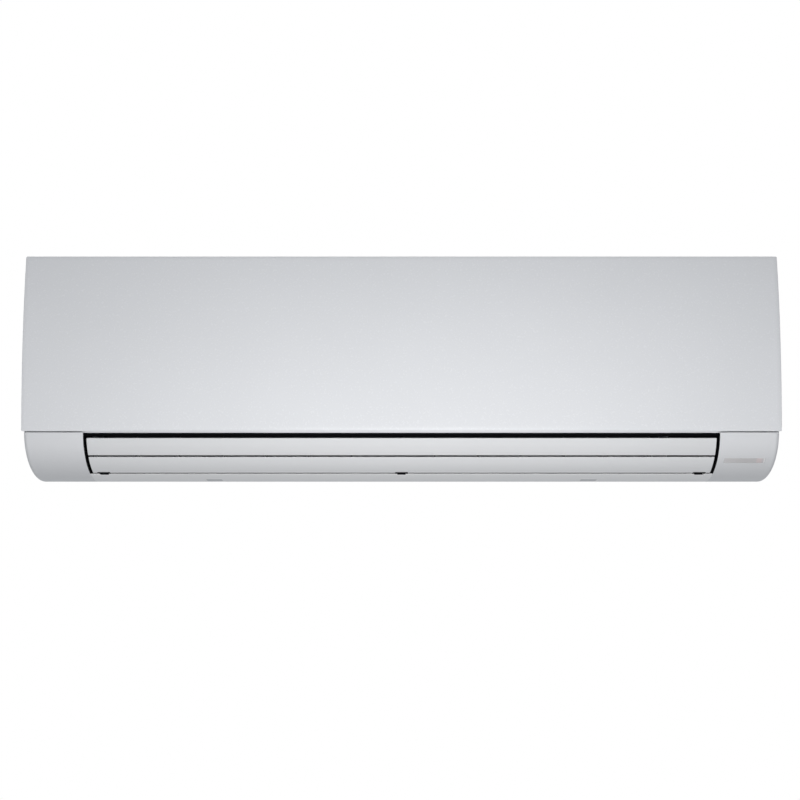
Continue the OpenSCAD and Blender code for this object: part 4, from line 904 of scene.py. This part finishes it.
web, rail = follow(-10 * MM, 4.3 * MM), follow(2.3 * MM, 4.3 * MM)
beside_filter = band(POST_R, POST_BACK, -68 * MM, POST_TOP)
hinge_foot = bar((-176 * MM, 155 * MM), (-165 * MM, 150 * MM), 8 * MM)
inner = []
for side in (-1, 1):
    for outline, x0, x1 in (
            (post(-89.5 * MM), 448.2, 531), (beside_filter, 443, 448), (web, 442, 444.5),
            (rail, 431, 443), (rail, 0, 26), (circle(HINGE, HINGE_R), 479, 485),
            (hinge_foot, 479.1, 484.9)):
        inner.append(carry(outline, *at_side(side, x0 * MM, x1 * MM)))
inner.append(carry(band(POST_R, POST_BACK, -87.3 * MM, -67 * MM, 8), -BAR_END, BAR_END))
inner.append(carry(post(-83 * MM), -14 * MM, 14 * MM))
inner.append(carry(follow(-10 * MM, 3.8 * MM), -13.9 * MM, 13.9 * MM))
inner.append(carry(oblong(-163.5, -166, 150, 160.9), -BAR_END, BAR_END))
put_together("casing_inside", inner, casing_white, "case")

# ---------------------------------------------------------------- indicator window
# A strip of smoked translucent plastic snapped into the right cheek. The lamp behind its right
# end tints it a dull pink, though it is off.
window_t = np.linspace(*(chin_at_z(z) for z in WINDOW_Z), 7)
strip = np.concatenate([chin(window_t, 0.25 * MM), chin(window_t[::-1], WALL)])
smoked, tree, shader, place = finish("smoked_strip", (0.40, 0.395, 0.40), 0.22, coat=0.4)
parts = tree.nodes.new("ShaderNodeSeparateXYZ")
tree.links.new(place, parts.inputs["Vector"])
along = tree.nodes.new("ShaderNodeValToRGB")
along.color_ramp.elements[0].position = 0.0
along.color_ramp.elements[0].color = (0.66, 0.64, 0.64, 1)
for at, colour in ((0.5, (0.60, 0.58, 0.58)), (0.76, (0.60, 0.58, 0.58)),
                   (0.82, (0.70, 0.61, 0.61)), (0.9, (0.70, 0.61, 0.61)),
                   (0.95, (0.62, 0.59, 0.60))):
    along.color_ramp.elements.new(at).color = (*colour, 1)
reach = tree.nodes.new("ShaderNodeMapRange")
reach.inputs["From Min"].default_value = WINDOW_X[0] * MM
reach.inputs["From Max"].default_value = WINDOW_X[1] * MM
tree.links.new(parts.outputs["X"], reach.inputs["Value"])
tree.links.new(reach.outputs["Result"], along.inputs["Fac"])
tree.links.new(along.outputs["Color"], shader.inputs["Base Color"])
put_together("indicator_strip", [carry(strip, *WINDOW_X * MM)], smoked, "case",
             ("display_window",), 0.3 * MM, 40)

# ---------------------------------------------------------------- screw caps
# Two small covers over the case screws, snapped into the underside and slightly greyer than it.
cap_grey = satin_white("cap_white", (0.60, 0.605, 0.62), 0.4)
cap_t = np.linspace(*(chin_at_y(y) for y in CAP_Y), 14)
cap = np.concatenate([chin(cap_t, 0.2 * MM), chin(cap_t[::-1], 1.5 * MM)])
caps = [carry(cap, *at_side(side, CAP_X - CAP_HALF, CAP_X + CAP_HALF)) for side in (1, -1)]
put_together("screw_covers", caps, cap_grey, "case", ("screw_caps",),
             0.35 * MM, 40)

# ---------------------------------------------------------------- front panel
# A convex cover moulded in glossy white. Its face rolls over gently towards every edge, then
# turns a tight corner into a 9 mm rim. Behind it are stiffening ribs and two hinge arms.
panel_white = satin_white("panel_white", (0.80, 0.805, 0.82), 0.26)
PANEL_HALF, PANEL_RISE, PANEL_R = 536 * MM, 250 * MM, 710 * MM
RIM, PANEL_WALL, CORNER_R = 9 * MM, 2.5 * MM, 2 * MM
PANEL_RUN = PANEL_R * math.asin(PANEL_RISE / PANEL_R)
ACROSS, ALONG = 96, 32


def edge_path():
    """The edge seen end on, as (distance in from the edge, depth): small steps whose direction
    turns slowly by 16 degrees over 6 mm, then quickly to 90, run down the rim, go round its end
    and come back up inside it."""
    slow = np.linspace(0, 16, 13)[:-1]
    quick = np.linspace(16, 90, 9)
    turn = np.radians(np.concatenate([slow, quick]))
    step = np.concatenate([np.full(12, 0.5), np.full(9, 0.14)]) * MM
    e = np.cumsum(step * np.cos(turn))
    d = np.cumsum(step * np.sin(turn))
    e, d = np.concatenate([[0], e]), np.concatenate([[0], d])
    total = e[-1]
    half = np.linspace(0, np.pi, 8)
    r = PANEL_WALL / 2
    round_end = np.stack([total - r + r * np.cos(half), RIM - r + r * np.sin(half)], 1)
    back = np.array([[0, 0.8], [-0.25, 0.25], [-0.8, 0]]) * MM + (total - PANEL_WALL, PANEL_WALL)
    path = np.concatenate([np.stack([e, d], 1), round_end, back])
    return total - path[:, 0], path[:, 1]


def cover_loop(inset, radius):
    """A rounded rectangle on the unrolled panel, inset from its edge, as (x, run) points."""
    hx, lo, hi = PANEL_HALF - inset, inset, PANEL_RUN - inset
    a = np.linspace(0, np.pi / 2, 6)
    loop = []
    x0, x1, y0, y1 = -hx + radius, hx - radius, lo + radius, hi - radius
    for cx, cy, start, ends, count in (
            (x1, y0, -np.pi / 2, ((hx, y0), (hx, y1)), ALONG),
            (x1, y1, 0.0, ((x1, hi), (x0, hi)), ACROSS),
            (x0, y1, np.pi / 2, ((-hx, y1), (-hx, y0)), ALONG),
            (x0, y0, np.pi, ((x0, lo), (x1, lo)), ACROSS)):
        corner = (cx, cy) + radius * np.stack([np.cos(start + a), np.sin(start + a)], 1)
        loop += [corner, np.linspace(*ends, count + 1)[1:-1]]
    return np.concatenate(loop)


def rolled_out(flat, depth):
    """Takes (x, run) points at a depth onto the panel's curve."""
    a = flat[..., 1] / PANEL_R
    r = PANEL_R - depth
    return np.stack([flat[..., 0], ARC_Y - r * np.cos(a), ARC_Z + r * np.sin(a)], -1)


def cover():
    """Face, edge, rim and back of the cover as one closed shell: the face and the back are
    grids, and the edge profile is carried round the loop between them."""
    inset, depth = edge_path()
    radii = np.clip(CORNER_R - inset, 0.0, CORNER_R)
    loops = [rolled_out(cover_loop(i, radius), d) for i, radius, d in zip(inset, radii, depth)]
    n = len(loops[0])
    points, faces = [np.concatenate(loops)], []
    ring = np.arange(n)
    for k in range(len(loops) - 1):
        a, b = ring + k * n, np.roll(ring, -1) + k * n
        faces.append(np.stack([a, b, b + n, a + n], 1))
    base = len(loops) * n
    for i, d in ((inset[0], depth[0]), (inset[-1], depth[-1])):
        gx = np.linspace(-PANEL_HALF + i, PANEL_HALF - i, ACROSS + 1)
        gy = np.linspace(i, PANEL_RUN - i, ALONG + 1)
        grid = rolled_out(np.stack(np.meshgrid(gx, gy, indexing="ij"), -1), d)
        at = base + np.arange(gx.size * gy.size).reshape(gx.size, gy.size)
        quads = np.stack([at[:-1, :-1], at[1:, :-1], at[1:, 1:], at[:-1, 1:]], -1)
        faces.append(quads.reshape(-1, 4))
        points.append(grid.reshape(-1, 3))
        base += at.size
    return np.concatenate(points), np.concatenate(faces).tolist()


put_together("front_cover", [cover()], panel_white, "panel", ("front_panel",),
             0.0, 50)
inner_r = PANEL_R - PANEL_WALL
rib_top, rib_foot, RIB = inner_r + 0.5 * MM, inner_r - 3 * MM, 1.6
ribs = []
for z in (-30, 40, 105):
    level_rib = band(rib_top, rib_foot, z * MM, (z + RIB) * MM, 3)
    ribs.append(carry(level_rib, -528 * MM, 528 * MM))
upright_rib = band(rib_top, rib_foot, -84 * MM, 150 * MM)
for x in np.arange(-390, 391, 130):
    ribs.append(carry(upright_rib, (x - RIB / 2) * MM, (x + RIB / 2) * MM))
hinge_edge = np.array([(0, 5.3 * MM), (0, -5.3 * MM)]) + HINGE
hinge_arm = np.concatenate([hinge_edge, arc(rib_top, 138 * MM, 156 * MM, 2)])
for side in (-1, 1):
    for outline, x0, x1 in ((circle(HINGE, HINGE_R), 470, 476), (hinge_arm, 470.1, 475.9),
                            (circle(HINGE, 2.8 * MM), 475, 487)):
        ribs.append(carry(outline, *at_side(side, x0 * MM, x1 * MM)))
put_together("cover_ribs", ribs, panel_white, "panel")
